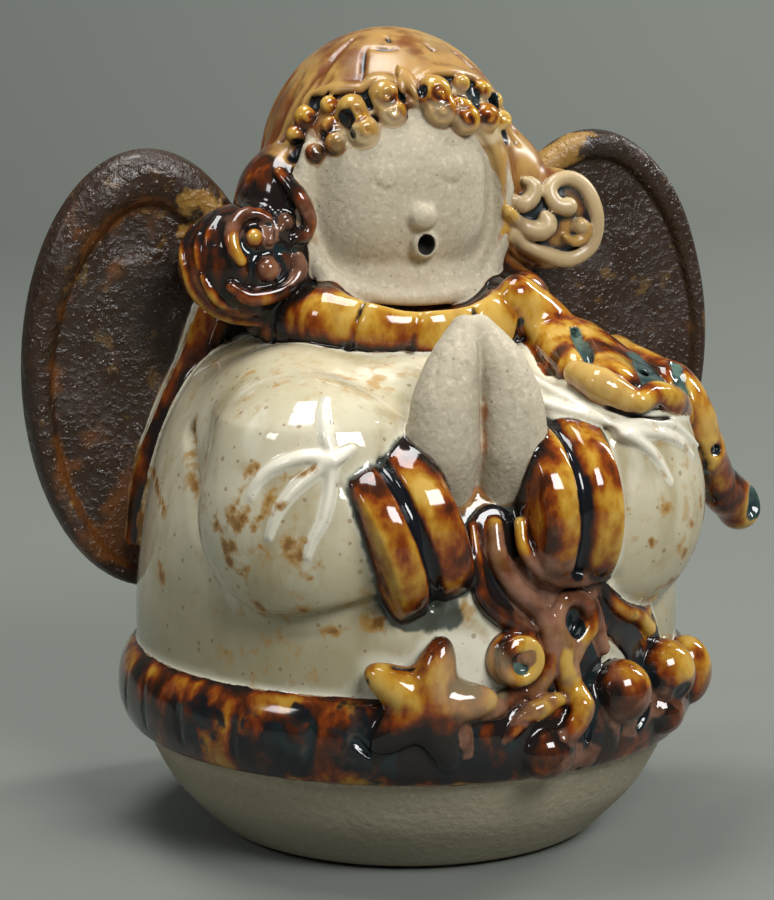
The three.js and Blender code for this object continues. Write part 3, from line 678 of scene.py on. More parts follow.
# Which curl, and its winding's radius, start and turn in degrees.
WOUND = [(0, 2.2, 20, -300), (1, 2.1, 200, 300), (3, 2.2, 180, 280), (8, 1.6, 60, 280), (9, 1.3, 30, 240),
         (11, 2.4, 160, 260), (15, 2.1, 170, 260), (16, 2.1, 10, -260), (18, 1.6, 30, 240),
         (2, 2.3, 150, 300), (10, 2.6, 215, 420), (0, 2.4, 190, 220), (5, 1.6, 60, 250), (4, 1.3, 60, 260),
         (6, 2, 200, 240), (12, 1.3, 20, -240), (14, 1.5, 150, 250), (13, 1.4, 200, 250)]
# x, z and radius of each gap.
GAPS = [(-15.7, 160.4, 1.5), (-19.6, 162.6, 1.3), (-16.2, 165.3, 0.9), (-10.2, 163.8, 1.1),
        (-19.9, 156.9, 0.9), (-24.4, 153.4, 1.7), (-14.9, 157.2, 0.7), (-9, 160.3, 0.7), (11.5, 165.9, 1.3),
        (14.5, 165.4, 1.5), (14.2, 162.6, 1.1), (19.8, 164.4, 1.3), (20.2, 162, 1.1), (23, 156.4, 1.5),
        (8.2, 167.2, 0.9), (1.4, 166.6, 0.9), (-3.3, 164.8, 0.9)]
PARTING_TUFTS = [([(-2.4, 172.4), (-1.6, 169.6), (-0.4, 166.6), (0.4, 165)], (0.5, 3.2, 3, 1)),
                 ([(-2.9, 170.6), (-3, 168), (-2.6, 165.6)], (0.8, 1.4, 0.8))]


def seat_on_clay(x, z, lift=0.0, furthest=60.0):
    """The spot on the front of the clay at some x and z."""
    return laid([(x, z), (x + 0.1, z)], lift, furthest=furthest)[0]


for line in HAIR_EDGES:
    rim = laid(line, 0.4)
    lay_on(strand(rim, (1, 2.2, 2.2, 1.2)), "amber", 3)
    score(strand(rim + [0, -0.9, -1.2]), 0.7, 1.0, 0.6, 1.1)
seats = [seat_on_clay(x, z, 0.3, 6) for x, z, _ in RINGLETS]
for seat, (x, _, r) in zip(seats, RINGLETS):
    lay_on(egg(seat, (r, r, 1.05 * r)), "amber", 0.5)
    ball = egg(seat, (r, r, r))
    mark("tan", 0.6, -0.6, ball)
    if x > LIGHT_FROM_X:
        mark("pale", 1.4, 1.1, egg(seat - (0, 0.3 * r, 0.9 * r), (0.9 * r, 0.8 * r, 0.5 * r)))
        mark("depth", 0.6, -0.15, ball)
    else:
        mark("depth", 0.8, 0.12, ball)
for which, r, start, turn in WOUND:
    spin = np.radians(start + np.linspace(0, turn, 14))
    wind = r * np.linspace(1, 0.35, 14)
    x, _, z = seats[which]
    winding = laid(np.stack([x + wind * np.cos(spin), z + wind * np.sin(spin)], 1), step=0.8)
    score(strand(winding), 0.5, 0.9, 0.5, 0.5, "depth")
for x, z, r in GAPS:
    score(egg(seat_on_clay(x, z) + [0, 0.8, 0], (0.6 * r, 0.6, 0.8 * r)), 0.7 * r, 1.3, 0.9 * r, 1.3)
for spots, width in PARTING_TUFTS:
    lay_on(strand(laid(spots, 0.8), width), "amber", 0.4)


# Ear rolls. Over each ear the hair rolls out into a bunch: fat strands that wind up into commas and
# spirals on a sunken ground, where the glaze has pooled nearly black.
BUNCH_FULLNESS = 1.15
# Spots, widths and lift of each strand.
RIGHT_STRANDS = [
    ([(-40.6, 130.6), (-42, 133.4), (-41.6, 136.8), (-38.8, 139.6), (-35, 139.8), (-33, 137.2),
      (-33.8, 134.6)], (2.4, 3.4, 3.6, 3.6, 3, 2.6), 0.4),
    ([(-28.8, 148.7), (-26.6, 145.2), (-24.4, 141.4), (-23.4, 138), (-24.6, 135.2), (-27.2, 134.6)],
     (2.4, 3.4, 3.2, 2.6), 0.6),
    ([(-30.8, 137.2), (-30.9, 138.9), (-29, 139.8), (-27.4, 138.6)], (1.8, 2.2, 2.2), 0.4),
    ([(-27.4, 131.6), (-26.4, 128.3), (-28.6, 125), (-33.2, 123), (-38.8, 122.6), (-42.6, 125)],
     (2.4, 3.4, 3.6, 3.6, 2.4), 0.6),
    ([(-48.1, 126.9), (-46.6, 124), (-44.4, 121.3), (-40, 119)], (1.4, 2.4, 2, 1), 0.2),
    ([(-48.2, 137.2), (-50.4, 133.2), (-50.8, 129), (-49.4, 123.5), (-45.2, 119.1), (-40.1, 116.9),
      (-34, 116)], (1.2, 2, 2, 2.2, 2.2, 2), -0.2),
    ([(-46.4, 138.3), (-48.4, 134.6), (-48.8, 130), (-47.9, 126.7)], (0.8, 1.6, 0.8), -0.2),
    ([(-43.6, 139.7), (-46.4, 135.8), (-47, 131.4)], (0.8, 1.6, 0.8), -0.3),
]
# x, z and radius of each ball.
RIGHT_BALLS = [(-37.4, 135.4, 2.1), (-28.9, 138, 2), (-34.7, 128.6, 2.6)]
RIGHT_GROOVES = [
    [(-33.6, 138.2), (-36.2, 138.6), (-38.8, 137.6), (-40, 135.4), (-39.4, 133), (-36.6, 131.9),
     (-33.8, 132.6)],
    [(-31.6, 138.2), (-30.6, 140.3), (-27.8, 141), (-25.8, 139.6), (-25, 137.2)],
    [(-31.3, 140.3), (-32.1, 137.8), (-32.4, 134.8), (-32.2, 132.4)],
    [(-37, 131.8), (-38, 130.2), (-38.3, 128), (-38.6, 125.7)],
    [(-32, 131), (-30.4, 129.4), (-30.2, 127.2), (-31.8, 125.8)],
    [(-43.8, 140.6), (-39.5, 141.8), (-34.6, 141.6), (-30.8, 140.6)],
    [(-31.4, 133), (-28.4, 132.6), (-25, 131.7)],
]
LEFT_STRANDS = [
    ([(27.8, 145.9), (29.4, 145.3), (29.9, 143.5), (28.9, 141.4), (27, 140.5), (25, 141.6)],
     (1.6, 3.2, 3.6, 3.6, 2.4), 1.2),
    ([(37.6, 139.9), (35.3, 140), (33.8, 141.8), (33.6, 144), (35.6, 145.6), (38.9, 146.1), (42, 144.5),
      (44.2, 141.1), (45.4, 136.1), (44.6, 131.2), (41.8, 128.6), (37.9, 127.6), (33, 128.9), (28, 131.2),
      (24.1, 134)], (3.6, 3, 3, 3.2, 3.2, 3.2, 3.4, 3.4, 3, 2.8, 2.4), 1.2),
    ([(22.6, 139.2), (25.3, 136.8), (28.1, 135.1), (31, 134.4), (32.8, 135.8), (31.9, 137.9)],
     (2.4, 2.8, 3.4, 4, 4, 2.4), 1.2),
    ([(36.9, 133.1), (39.4, 131.6), (42, 132.4), (42.6, 134.6), (41, 135.6)], (1.2, 2, 2.2, 2.8), 0.9),
    ([(23.2, 133), (25.8, 131), (28.9, 129.4), (33, 127)], (1.2, 1.8, 1.6), 0.5),
    ([(23.7, 131.3), (25.7, 129.5), (28.1, 128), (31, 126.4)], (1, 1.6, 1.2), 0.5),
    ([(22.8, 135.2), (26, 132.6), (29.6, 130.6)], (1, 1.6, 1.2), 0.5),
]
LEFT_BALLS = [(37.7, 139.7, 2.1), (32.6, 136.2, 2.5), (41, 135.2, 1.8), (40.4, 132, 1.4)]
GROUNDS = [egg((-30.5, -6.5, 130.5), (5, 4.5, 8)), egg((36, -1, 137), (9.6, 3.4, 9.6)),
           egg((29, 0, 138), (6, 3, 6))]


def lay_bunch(strands, balls, furthest):
    """Lays an ear's strands and balls on the clay, each where the front of the clay then is."""
    rolls = [strand(laid(spots, lift, furthest=furthest), BUNCH_FULLNESS * np.array(width))
             for spots, width, lift in strands]
    beads = [egg(seat_on_clay(x, z, 0.3), (r, r, r)) for x, z, r in balls]
    for form in rolls + beads:
        lay_on(form, "amber", 0.45)
    return rolls, beads


lay_on(egg((-36.8, 3.6, 128.8), (14.6, 13.2, 13.2)), "amber", 2)
lay_on(egg((35.6, 5.6, 136.6), (12.6, 7.4, 11.6)), "amber", 1.6)
rolls, beads = lay_bunch(RIGHT_STRANDS, RIGHT_BALLS, 3)
mark("depth", 0.6, 0.16, *rolls, *beads)
mark("pink", 0.4, 0.35, *rolls[:4], *beads)
rolls, beads = lay_bunch(LEFT_STRANDS, LEFT_BALLS, 4)
mark("pale", 0.5, 0.75, *rolls[:3], *beads[:3])
for line in RIGHT_GROOVES:
    score(strand(laid(line)), 0.8, 1.3, 0.75, 1.3)


# Wings. Each is a slab cut to a long ear shape, flat behind, its edge rolled forward into a thick hood at
# the top that dies away down the outer side. The left one sits a little higher, and cream clay with a
# brown fold beside it joins the right one to the back. A hood is given by degrees from the top and width.
WING_MIDDLE = 53.8
WING_HALVES = np.array([29.5, 50.5])
WING_FRONT, WING_BACK = 23.4, 27.4
RIGHT_HOOD = [(-180, 3), (-75, 3.5), (-45, 8), (-20, 12.5), (20, 12.5), (60, 8.5), (95, 6.5), (140, 6),
              (180, 4)]
LEFT_HOOD = [(-180, 3), (-60, 4), (-20, 7), (30, 6.5), (90, 4), (180, 3.5)]
HOOD_RISE = 4.0
WINGS = [(-1, 102.5, RIGHT_HOOD, 0.6), (1, 105, LEFT_HOOD, 0.4)]
WING_JOIN = [(-39.6, 21.4, 115), (-44, 21.2, 105), (-49.2, 21.2, 95.5), (-55.8, 21.4, 81), (-59, 21.4, 64)]


def wing_parts(side, height, hood):
    """Two forms. The wing is a slab: the larger of the distance to an ellipse across x and z and that to
    its two faces, the front one raised in a half round over the hood's width along the edge. The line is
    where that half round ends, towards the middle."""
    def measures(x, z):
        a, c = (x - side * WING_MIDDLE) / WING_HALVES[0], (z - height) / WING_HALVES[1]
        size = np.sqrt(a * a + c * c) + 1e-6
        rim = (size - 1) * size / (np.sqrt((a / WING_HALVES[0]) ** 2 + (c / WING_HALVES[1]) ** 2) + 1e-6)
        angles, widths = np.array(hood).T
        return rim, np.interp(np.degrees(np.arctan2(side * a, c)), angles, widths), a

    def wing_away(x, y, z):
        rim, width, a = measures(x, z)
        round_off = np.sqrt(np.clip(1 - (2 * rim / width + 1) ** 2, 0, 1))
        rise = HOOD_RISE * round_off * np.minimum(width / 9, 1)
        ripple = 0.4 * np.sin(z / 5 + 2 * a) * np.sin(x / 4 + 1)
        faces = np.maximum((WING_FRONT + ripple - rise - y) * 0.8, y - WING_BACK)
        outside = np.sqrt(np.maximum(rim + 1.6, 0) ** 2 + np.maximum(faces + 1.6, 0) ** 2)
        return np.minimum(np.maximum(rim + 1.6, faces + 1.6), 0) + outside - 1.6

    def line_away(x, y, z):
        rim, width, _ = measures(x, z)
        return abs(rim + width * 0.97) + np.maximum(y - WING_FRONT - 2, 0)

    half = WING_HALVES[[0, 0, 1]]
    middle = np.array([side * WING_MIDDLE, 23.5, height])
    low, high = middle - half * (1, 0, 1) - (0, 5, 0), middle + half * (1, 0, 1) + (0, 5, 0)
    return Form(wing_away, low, high), Form(line_away, low, high)


for side, height, hood, rust in WINGS:
    wing, hood_line = wing_parts(side, height, hood)
    lay_on(wing, "wing", 0.8)
    mark("rust", 1.4, rust, hood_line)
press(egg((-58.4, 22.6, 134.1), (3.4, 1, 3.6)), 1.5, 1.3)
mark("gold", 3, 0.7, egg((-42.5, 20, 138), (3, 9, 5)))
mark("gold", 4, 1.0, egg((34, 18, 146), (8, 9, 7)))
mark("gold", 3, 0.7, egg((42, 18, 153), (7, 7, 3)))
mark("rust", 6, 0.5, egg((-66, 22, 74), (9, 3, 10)))
mark("rust", 4, 0.6, egg((-60, 22, 66), (5, 3, 8)))
mark("rust", 3, 0.5, egg((-67, 22, 132), (5, 3, 8)))
mark("rust", 2, 0.5, egg((-56, 22, 138), (8, 3, 2)))


def beside_join(aside, further_aside, back):
    """The join's line moved aside, and further aside and back as it rises from 50 to 100 mm."""
    join = np.array(WING_JOIN)
    share = (join[:, 2] - 50) / 50
    return join + np.stack([aside + further_aside * share, back * share, 0 * share], 1)


lay_on(strand(WING_JOIN, (9, 7.6, 5.8, 4, 2.2), (7, 6.4, 5.6, 5, 3), (0, -1, 0), step=2), "cream", 2)
fold_route = beside_join(-0.5, 0, -2.4)
brown_fold = strand(fold_route, (7, 5.4, 3.8, 2.6, 1.6), (5, 4.4, 3.6, 3, 2), (0, -1, 0), step=2)
lay_on(brown_fold, "amber", 2)
mark("depth", 1, 0.42, brown_fold)
mark("rust", 1.6, 0.8, strand(beside_join(0, -4, 0) - (0, 2, 0)))
# A dark line between the cream band and the body: painted shade.
mark("edge", 0.7, 1, strand(beside_join(0, 3.6, -3)))


# Garland. Stems hang from between the cuffs over the lap and hem to leaves and round fruits, all rolled and
# pinched from clay. Spots are degrees round from the front and height, on the body.
# Spots and widths of each bed; then spots, widths and lift of each stem and leaf.
BEDS = [([(1, 78), (3.5, 68), (9, 60), (14.5, 56), (17, 48), (15, 40)], (9, 13, 15, 17)),
        ([(20, 67), (25, 62), (31, 57), (38, 50), (40, 44)], (9, 12, 12, 14))]
STEMS = [
    ([(-3.6, 79), (-3.4, 73), (-3.2, 68.5), (-2.2, 64.3), (0.1, 61.4), (3.4, 59), (7, 56.6)],
     (2, 2.8, 3.8, 4.4, 3.6), 0.8),
    ([(1, 79), (0.8, 73.4), (2.2, 69.2), (4.8, 65.3), (8.2, 61.8), (10.4, 58), (11.4, 54), (11.6, 50),
      (10.2, 46), (7.4, 43.2)], (3.6, 4.6, 4.8, 4.6, 3.8, 3), 1.4),
    ([(14.6, 62.6), (12.8, 59.6), (12.7, 56), (14.2, 53), (14.4, 49), (15.6, 44), (16.4, 40.3), (15, 36.6),
      (12.4, 33.6)], (3.4, 3.8, 5.4, 6, 5.6, 5.2, 4.8), 1.9),
    ([(14.6, 62.6), (18.4, 62.4), (20.6, 59.3), (20, 56), (17.6, 53.4), (15.4, 50)], (3.6, 4.2, 4.6, 5), 1.9),
    ([(22, 63.6), (22.6, 59.6), (23.2, 55), (24.6, 50.6)], (2.8, 3.8, 3.4), 0.9),
    ([(24.6, 65.2), (26.8, 61), (30.4, 57.8), (35.2, 55.6), (39.4, 52)], (3.2, 3.8, 3.6), 1.2),
    ([(5.6, 79.6), (5.6, 74.4), (8.4, 70), (12.7, 67.3), (18.3, 66.8), (23.5, 67.1)], (2.8, 3.2, 3), 4),
    ([(7.8, 78.4), (8.5, 74.7), (8.8, 72.5)], (1.8, 2.2), 3),
]
LEAVES = [
    ([(-3.4, 39.9), (0.3, 42), (4.5, 43.4), (6.5, 44)], (1.6, 4.6, 4, 2.4), 0.6),
    ([(3.2, 38.6), (8, 40.8), (11.5, 41.7), (14, 41.6)], (1.6, 4.8, 4.4, 2.4), 0.6),
    ([(0.6, 34), (3, 36.8), (5.6, 38.6)], (1.6, 3.4, 2), 0.4),
    ([(-8, 40.6), (-7.2, 36.5), (-6.4, 32.4)], (3, 4, 3.2), 0.6),
    ([(-21, 34), (-19, 30.4), (-16.2, 30.2), (-14, 32.2), (-11.9, 33.5), (-10, 33.2), (-8, 30.6)],
     (2.4, 3.2, 3.2, 2.6), -0.6),
]
# Degrees round, height, half width and half height of each fruit.
FRUITS = [(28, 40.8, 6.8, 7), (43.4, 41.6, 7, 7.4), (42.3, 33, 6, 5.4), (10, 30.8, 7, 6.2), (60, 37.6, 6, 8)]
BAND_GROOVES = [[(20, 51.2), (21, 42.4), (18.8, 36.2), (18.2, 26)],
                [(34.5, 47.8), (36.4, 41.7), (35.4, 37), (31.8, 31)],
                [(-26.4, 35), (-23.4, 31), (-24.4, 27)]]
BAND_THICKNESS = 3.6


def stem(spots, width, lift):
    """A roll of clay through (degrees, height) spots on the body, lifted over the hem band."""
    degrees, heights = curve(spots, 2.0).T
    band = np.clip(np.minimum(heights - 25.5, 43 - heights) / 2, 0, 1) * BAND_THICKNESS
    return strand(on_body(degrees, heights, lift + band), width)


def over_body(spots, width, thick):
    """A layer of clay some mm thick over the body, as far as a wide strand along the spots reaches."""
    brush = strand(on_body(*curve(spots, 3.0).T), width)
    return brush._replace(away=lambda *spot: np.maximum(body.away(*spot) - thick, brush.away(*spot)))


for spots, width in BEDS:
    lay_on(over_body(spots, width, 0.9), "amber", 1.6)
    mark("bed", 0.7, 1, over_body(spots, width, 0.6))
stems, leaves = ([stem(*given) for given in table] for table in (STEMS, LEAVES))
for form in stems + leaves:
    lay_on(form, "amber", 0.35)
mark("pink", 0.5, 0.66, *stems[1:6], *leaves)
mark("depth", 1, 0.18, stems[0], leaves[2])
mark("bed", 0.4, -1.2, *stems)
teardrop = egg(on_body(16.5, 57.6, 3), (1.4, 2.6, 2.5))
cut_out(teardrop, 0.8)
mark("ink", 0.8, 1.2, teardrop)
for degrees, z, wide, tall in FRUITS:
    fruit = egg(on_body(degrees, z, 3), (wide, wide, tall))
    lay_on(fruit, "amber", 0.4)
    mark("pink", 2, 1.1, egg(on_body(degrees + 4, z - 4, 6), (wide, wide, tall * 0.6)))
    mark("depth", 0.8, 0.14, fruit)
score(egg(on_body(41.9, 38.4, 8.6), (1.6, 2, 1.2)), 1.0, 1.0, 1.1)
for spots in BAND_GROOVES:
    score(strand(on_body(*curve(spots, 2).T, 4.2)), 0.9, 1.3, 2)


# Rose. A disc of clay with one ribbon wound round it and a round heart, stuck on beside the stems. Its
# glaze broke light on the petals and pooled blue-green below the heart.
def frame_on_body(spot, lean=0.0):
    """Out, right and up at a spot on the body, level, with right and up leaned by some degrees."""
    normal = np.array([spot[0], spot[1] - lean_back(spot[2]), 0.0])
    normal /= np.linalg.norm(normal)
    right = np.array([-normal[1], normal[0], 0]) / np.hypot(normal[0], normal[1])
    up = np.cross(normal, right)
    a = np.radians(lean)
    return normal, right * np.cos(a) + up * np.sin(a), up * np.cos(a) - right * np.sin(a)


rose = on_body(3.8, 51.3, 1.2)
rose_out, rose_right, rose_up = frame_on_body(rose)
lay_on(egg(rose, (6.2, 3, 6.2)), "amber", 0.6)
mark("depth", 1, -0.3, egg(rose, (6, 4, 6)))
spin = np.radians(np.linspace(140, -300, 26))[:, None]
wind = np.linspace(4.5, 3.2, 26)[:, None]
petals = rose + wind * (np.cos(spin) * rose_right + np.sin(spin) * rose_up) + rose_out * (3.1 - 0.12 * wind)
lay_on(strand(petals, (2, 3.2, 3.4, 2.8)), "amber", 0.5)
rose_middle = rose + rose_out * 2.6
rose_heart = egg(rose_middle + 1.5 * rose_right + 0.8 * rose_up, (1.9, 1.7, 1.9))
lay_on(rose_heart, "amber", 0.3)
mark("pink", 0.5, 1, rose_heart)
mark("teal", 0.7, 1.2, egg(rose_middle - 0.2 * rose_right - 1.6 * rose_up, (1.6, 1.4, 0.9)))
mark("depth", 1.2, 0.5, egg(rose_middle - 3.4 * rose_right + 2 * rose_up, (1.4, 2, 2)))


# Star. A puffed five-pointed star, modelled apart and luted over the hem, leaning to the figure's right.
# It is coloured lighter on its upper right and darker round its foot, and a painted shadow lines the top of
# its left point.
STAR_RADIUS = 15
STAR_HEIGHT = 5.6
STAR_SHADOW = [(-15.5, 0.4), (-9, 6.2), (-3.6, 7)]
star_seat = on_body(-13.6, 42.8, 3)
star_out, star_right, star_up = frame_on_body(star_seat, -14)


def star_away(x, y, z):
    """The distance to a ball drawn out to five points, by a cosine of five times the angle, and flat."""
    x, y, z = x - star_seat[0], y - star_seat[1], z - star_seat[2]
    a = x * star_right[0] + y * star_right[1] + z * star_right[2]
    c = x * star_up[0] + y * star_up[1] + z * star_up[2]
    b = x * star_out[0] + y * star_out[1] + z * star_out[2]
    turn = np.cos(5 * (np.arctan2(c, a) - np.pi / 2))
    reach = STAR_RADIUS * (0.77 + 0.2 * turn + 0.03 * turn**2)
    flat = np.hypot(a, c) / reach
    size = np.sqrt(flat**2 + (b / STAR_HEIGHT) ** 2)
    return (size - 1) * np.minimum(reach, STAR_HEIGHT) * 0.8


star = Form(star_away, star_seat - STAR_RADIUS, star_seat + STAR_RADIUS)
lay_on(star, "amber", 0.5)
mark("depth", 0.8, -0.12, star)
mark("depth", 3.4, 0.5, egg(star_seat + 4 * star_out - 10 * star_up, (10, 8, 3)))
mark("depth", 2, 0.22, egg(star_seat + 4 * star_out + 6 * star_right + 4 * star_up, (2, 4, 3)))
mark("pale", 4, 1, egg(star_seat + 7 * star_up + 7 * star_right, (8, 6, 7)))
shadow_line = star_seat + np.array(STAR_SHADOW) @ [star_right, star_up] + 1.5 * star_out
mark("shade", 1.1, 1, strand(shadow_line))


# Glaze. Where the amber lies thick and dark, where it broke to tan over the combed hair, where it pooled
# black on the hem, and where iron ran out of it into the cream: streaks down the sleeves and on the lap.
# Centre, halves, reach and strength of each place.
DEEP = [((0, 0, 31), (66, 66, 5), 6, 0.3), ((-38, 0, 129), (12, 14, 12), 4, 0.36),
        ((-29, 8, 146), (6, 10, 9), 4, 0.26), ((-18, -15, 117.5), (9, 6, 5), 2, -0.3),
        ((2, -20, 117), (22, 6, 6), 2, -0.12), ((0, -62, 62), (10, 8, 14), 8, 0.12),
        ((30, -10, 114), (6, 8, 8), 4, 0.1)]
TANNED = [((0, 12, 162), (27, 26, 18), 6), ((36, 2, 137), (13, 7, 12), 3), ((27, 8, 148), (6, 10, 8), 4)]
# Degrees round, height, half width and half height of each pool.
HEM_POOLS = [(-60, 33, 8, 7), (-46, 31, 6, 8), (-38, 34, 4, 7), (-24, 31.5, 6.4, 6.4), (-1.5, 32.5, 6.6, 7.4),
             (-80, 30, 8, 6), (-28, 39, 3, 3), (20, 31, 3, 8), (36, 38, 2.4, 6), (-8, 29, 6, 3)]
# Spots and width of each streak.
RUST_RUNS = [
    ([(-48.2, 92), (-51, 87.2), (-53.1, 80.8)], 1.6), ([(-37.9, 92.9), (-44.6, 89.3), (-49.2, 79.7)], 1.2),
    ([(-41.8, 82.1), (-43.8, 74.8), (-47.6, 76.1)], 1.8), ([(-50, 71), (-49.7, 68.4)], 1.8),
    ([(-47.6, 63.1), (-46, 62)], 1.2), ([(-37.7, 64.4), (-38.6, 62)], 1.2), ([(-50, 84), (-52.8, 75.9)], 1.4),
    ([(-44, 86), (-46.4, 83)], 1.2), ([(-40, 78), (-41.6, 73.6)], 1.3), ([(-37, 74), (-39, 70)], 1),
    ([(-54.8, 83), (-54.6, 78), (-52.8, 71.9)], 1.1), ([(-57, 84), (-58, 76)], 1.6),
    ([(-59.6, 66), (-60, 61)], 1.6), ([(29.2, 83), (30, 81)], 0.9), ([(38, 80.8), (39.4, 80.2)], 1.2),
    ([(51, 80), (52, 78)], 1.1),
    ([(38.5, 88.5), (39, 87.4)], 0.8), ([(47.5, 76.4), (48, 75)], 0.9), ([(35.6, 74), (36.6, 73)], 0.9),
    ([(44, 70), (50, 68), (54, 67)], 1.8), ([(55.4, 80), (56, 74)], 1.2), ([(40, 62), (47, 62.6)], 1.6),
    ([(-20, 62), (-24, 60)], 1), ([(-30, 58), (-33, 57)], 1.2), ([(-44, 54), (-46, 52)], 1.1),
]
for centre, halves, reach, strength in DEEP:
    mark("depth", reach, strength, egg(centre, halves))
for centre, halves, reach in TANNED:
    mark("tan", reach, 1, egg(centre, halves))
for degrees, z, wide, tall in HEM_POOLS:
    mark("bed", 1.6, 0.62, egg(on_body(degrees, z, 2), (wide, 6, tall), turn=degrees))
for spots, width in RUST_RUNS:
    mark("rust", width, 0.75, strand(laid(spots, furthest=20)))


# The skin. The field's zero level is the surface of the clay. It is meshed by surface nets, thinned where
# it is smooth, and each corner is then brought back to the zero level.
MOST_FACES = 190000
MOST_MOVE, MOVE_SHARE = 0.5, 0.8


def clay_at(spots):
    """The clay's distance at some spots."""
    return read(clay, grid_start, STEP, spots.T)


def surface_nets():
    """One corner in each cell of the grid that the zero level crosses, at the mean of its crossings with
    the cell's edges, and one quad round each edge of the grid that it crosses."""
    inside = clay < 0
    shape = np.array(clay.shape)
    weight = (shape[1] * shape[2], shape[2], 1)
    flat = clay.ravel()
    cells, crossings, quads = [], [], []
    for k in range(3):
        near = [slice(1, -1)] * 3
        far = list(near)
        near[k], far[k] = slice(0, -1), slice(1, None)
        change = inside[tuple(near)] != inside[tuple(far)]
        spots = np.stack(np.nonzero(change), 1)
        for m in range(3):
            if m != k:
                spots[:, m] += 1
        index = spots @ weight
        a, b = flat[index], flat[index + weight[k]]
        at = spots.astype(np.float64)
        at[:, k] += a / (a - b)
        u, v = [(1, 2), (2, 0), (0, 1)][k]
        round_edge = [index - weight[u] - weight[v], index - weight[v], index, index - weight[u]]
        cells += round_edge
        crossings += [at] * 4
        quad = np.stack(round_edge, 1)
        quads.append(np.where((a < 0)[:, None], quad, quad[:, ::-1]))
    cells, crossings, quads = np.concatenate(cells), np.concatenate(crossings), np.concatenate(quads)
    used, place = np.unique(cells, return_inverse=True)
    count = np.bincount(place)
    middle = np.stack([np.bincount(place, crossings[:, m]) / count for m in range(3)], 1)
    return np.array(grid_start) + STEP * middle, np.searchsorted(used, quads)


def largest_shell(spots, faces):
    """The largest connected shell alone: each corner takes the lowest number among its neighbours until
    nothing changes, which drops the hollows that stay closed inside the clay."""
    label = np.arange(len(spots))
    while True:
        lowest = label[faces].min(1)
        nearer = label.copy()
        for k in range(faces.shape[1]):
            np.minimum.at(nearer, faces[:, k], lowest)
        nearer = nearer[nearer]
        if (nearer == label).all():
            break
        label = nearer
    kept = label == np.bincount(label).argmax()
    return spots[kept], (np.cumsum(kept) - 1)[faces[kept[faces[:, 0]]]]


def mesh_of(name, spots, faces):
    """A mesh from arrays of corners in mm and of faces that all have as many corners."""
    mesh = bpy.data.meshes.new(name)
    mesh.vertices.add(len(spots))
    mesh.vertices.foreach_set("co", (spots / 1000).astype(np.float32).ravel())
    mesh.loops.add(faces.size)
    mesh.loops.foreach_set("vertex_index", faces.astype(np.int32).ravel())
    mesh.polygons.add(len(faces))
    mesh.polygons.foreach_set("loop_start", np.arange(0, faces.size, faces.shape[1], dtype=np.int32))
    mesh.update(calc_edges=True)
    mesh.validate()
    return mesh


def corners_and_faces(mesh):
    """A mesh's corners in mm and its triangles."""
    spots = np.empty(len(mesh.vertices) * 3, np.float32)
    mesh.vertices.foreach_get("co", spots)
    mesh.calc_loop_triangles()
    faces = np.empty(len(mesh.loop_triangles) * 3, np.int32)
    mesh.loop_triangles.foreach_get("vertices", faces)
    return spots.reshape(-1, 3).astype(float) * 1000, faces.reshape(-1, 3)


def slope_at(spots):
    """The field's slope at some spots, from its change over a step each way, as unit vectors."""
    steps = np.eye(3) * STEP * 0.8
    slope = np.stack([clay_at(spots + s) - clay_at(spots - s) for s in steps], 1)
    return slope / np.maximum(np.linalg.norm(slope, axis=1, keepdims=True), 1e-6)


rough = bpy.data.objects.new("rough", mesh_of("rough", *largest_shell(*surface_nets())))
bpy.context.scene.collection.objects.link(rough)
thin = rough.modifiers.new("thin", "DECIMATE")
thin.ratio = min(1.0, MOST_FACES / (2 * len(rough.data.polygons)))
thin.use_collapse_triangulate = True
bpy.context.view_layer.update()
thinned = bpy.data.meshes.new_from_object(rough.evaluated_get(bpy.context.evaluated_depsgraph_get()))
corners, faces = corners_and_faces(thinned)
bpy.data.objects.remove(rough)
for _ in range(2):
    corners -= np.clip(clay_at(corners), -MOST_MOVE, MOST_MOVE)[:, None] * slope_at(corners) * MOVE_SHARE
normals = slope_at(corners)


# What the glaze finds. Each corner of the skin stores where it lies: how far inside each glaze's bounds it
# is, in mm, how deep in a hollow, and how strongly it is marked. The material reads these.
COARSE_STEP = 1.1
CREASE_BLUR, FORM_BLUR = 2, 14


def smoothed(field, passes):
    """The field blurred by passes of a quarter, a half and a quarter along each axis."""
    for _ in range(passes):
        for axis in range(3):
            field = (np.roll(field, 1, axis) + 2 * field + np.roll(field, -1, axis)) / 4
    return field


coarse = int(round(COARSE_STEP / STEP))
near_skin = np.clip(clay[::coarse, ::coarse, ::coarse], -2.5, 2.5)


def hollow(passes):
    """How far the blurred field lies below 0 at each corner: over 0 in creases, below 0 on ridges."""
    return -read(smoothed(near_skin, passes), grid_start, STEP * coarse, corners.T)


def bell(entries):
    """The sum of several marks at each corner: a mark's strength on it, falling off over its width."""
    total = np.zeros(len(corners))
    for form, width, strength in entries:
        near = ((corners > form.low - 3 * width) & (corners < form.high + 3 * width)).all(1)
        gap = np.maximum(form.away(*corners[near].T), 0)
        total[near] += strength * np.exp(-((gap / width) ** 2))
    return total


zone = {name: read(field, grid_start, STEP, corners.T) for name, field in finish.items()}
others = {name: np.min([zone[other] for other in zone if other != name], axis=0) for name in zone}
facts = {name + "_glaze": others[name] - zone[name] for name in zone}
facts |= {kind: bell(entries) for kind, entries in marks.items()}
facts |= {"pool": hollow(CREASE_BLUR), "wide_pool": hollow(FORM_BLUR)}
facts["ground"] = np.clip(-np.min([ground.away(*corners.T) for ground in GROUNDS], axis=0), 0, 1)

skin = mesh_of("angel", corners, faces)
for name, values in facts.items():
    skin.attributes.new(name, "FLOAT", "POINT").data.foreach_set("value", values.astype(np.float32))
skin.shade_smooth()
skin.normals_split_custom_set_from_vertices(normals.tolist())
angel = bpy.data.objects.new("angel", skin)
bpy.context.scene.collection.objects.link(angel)


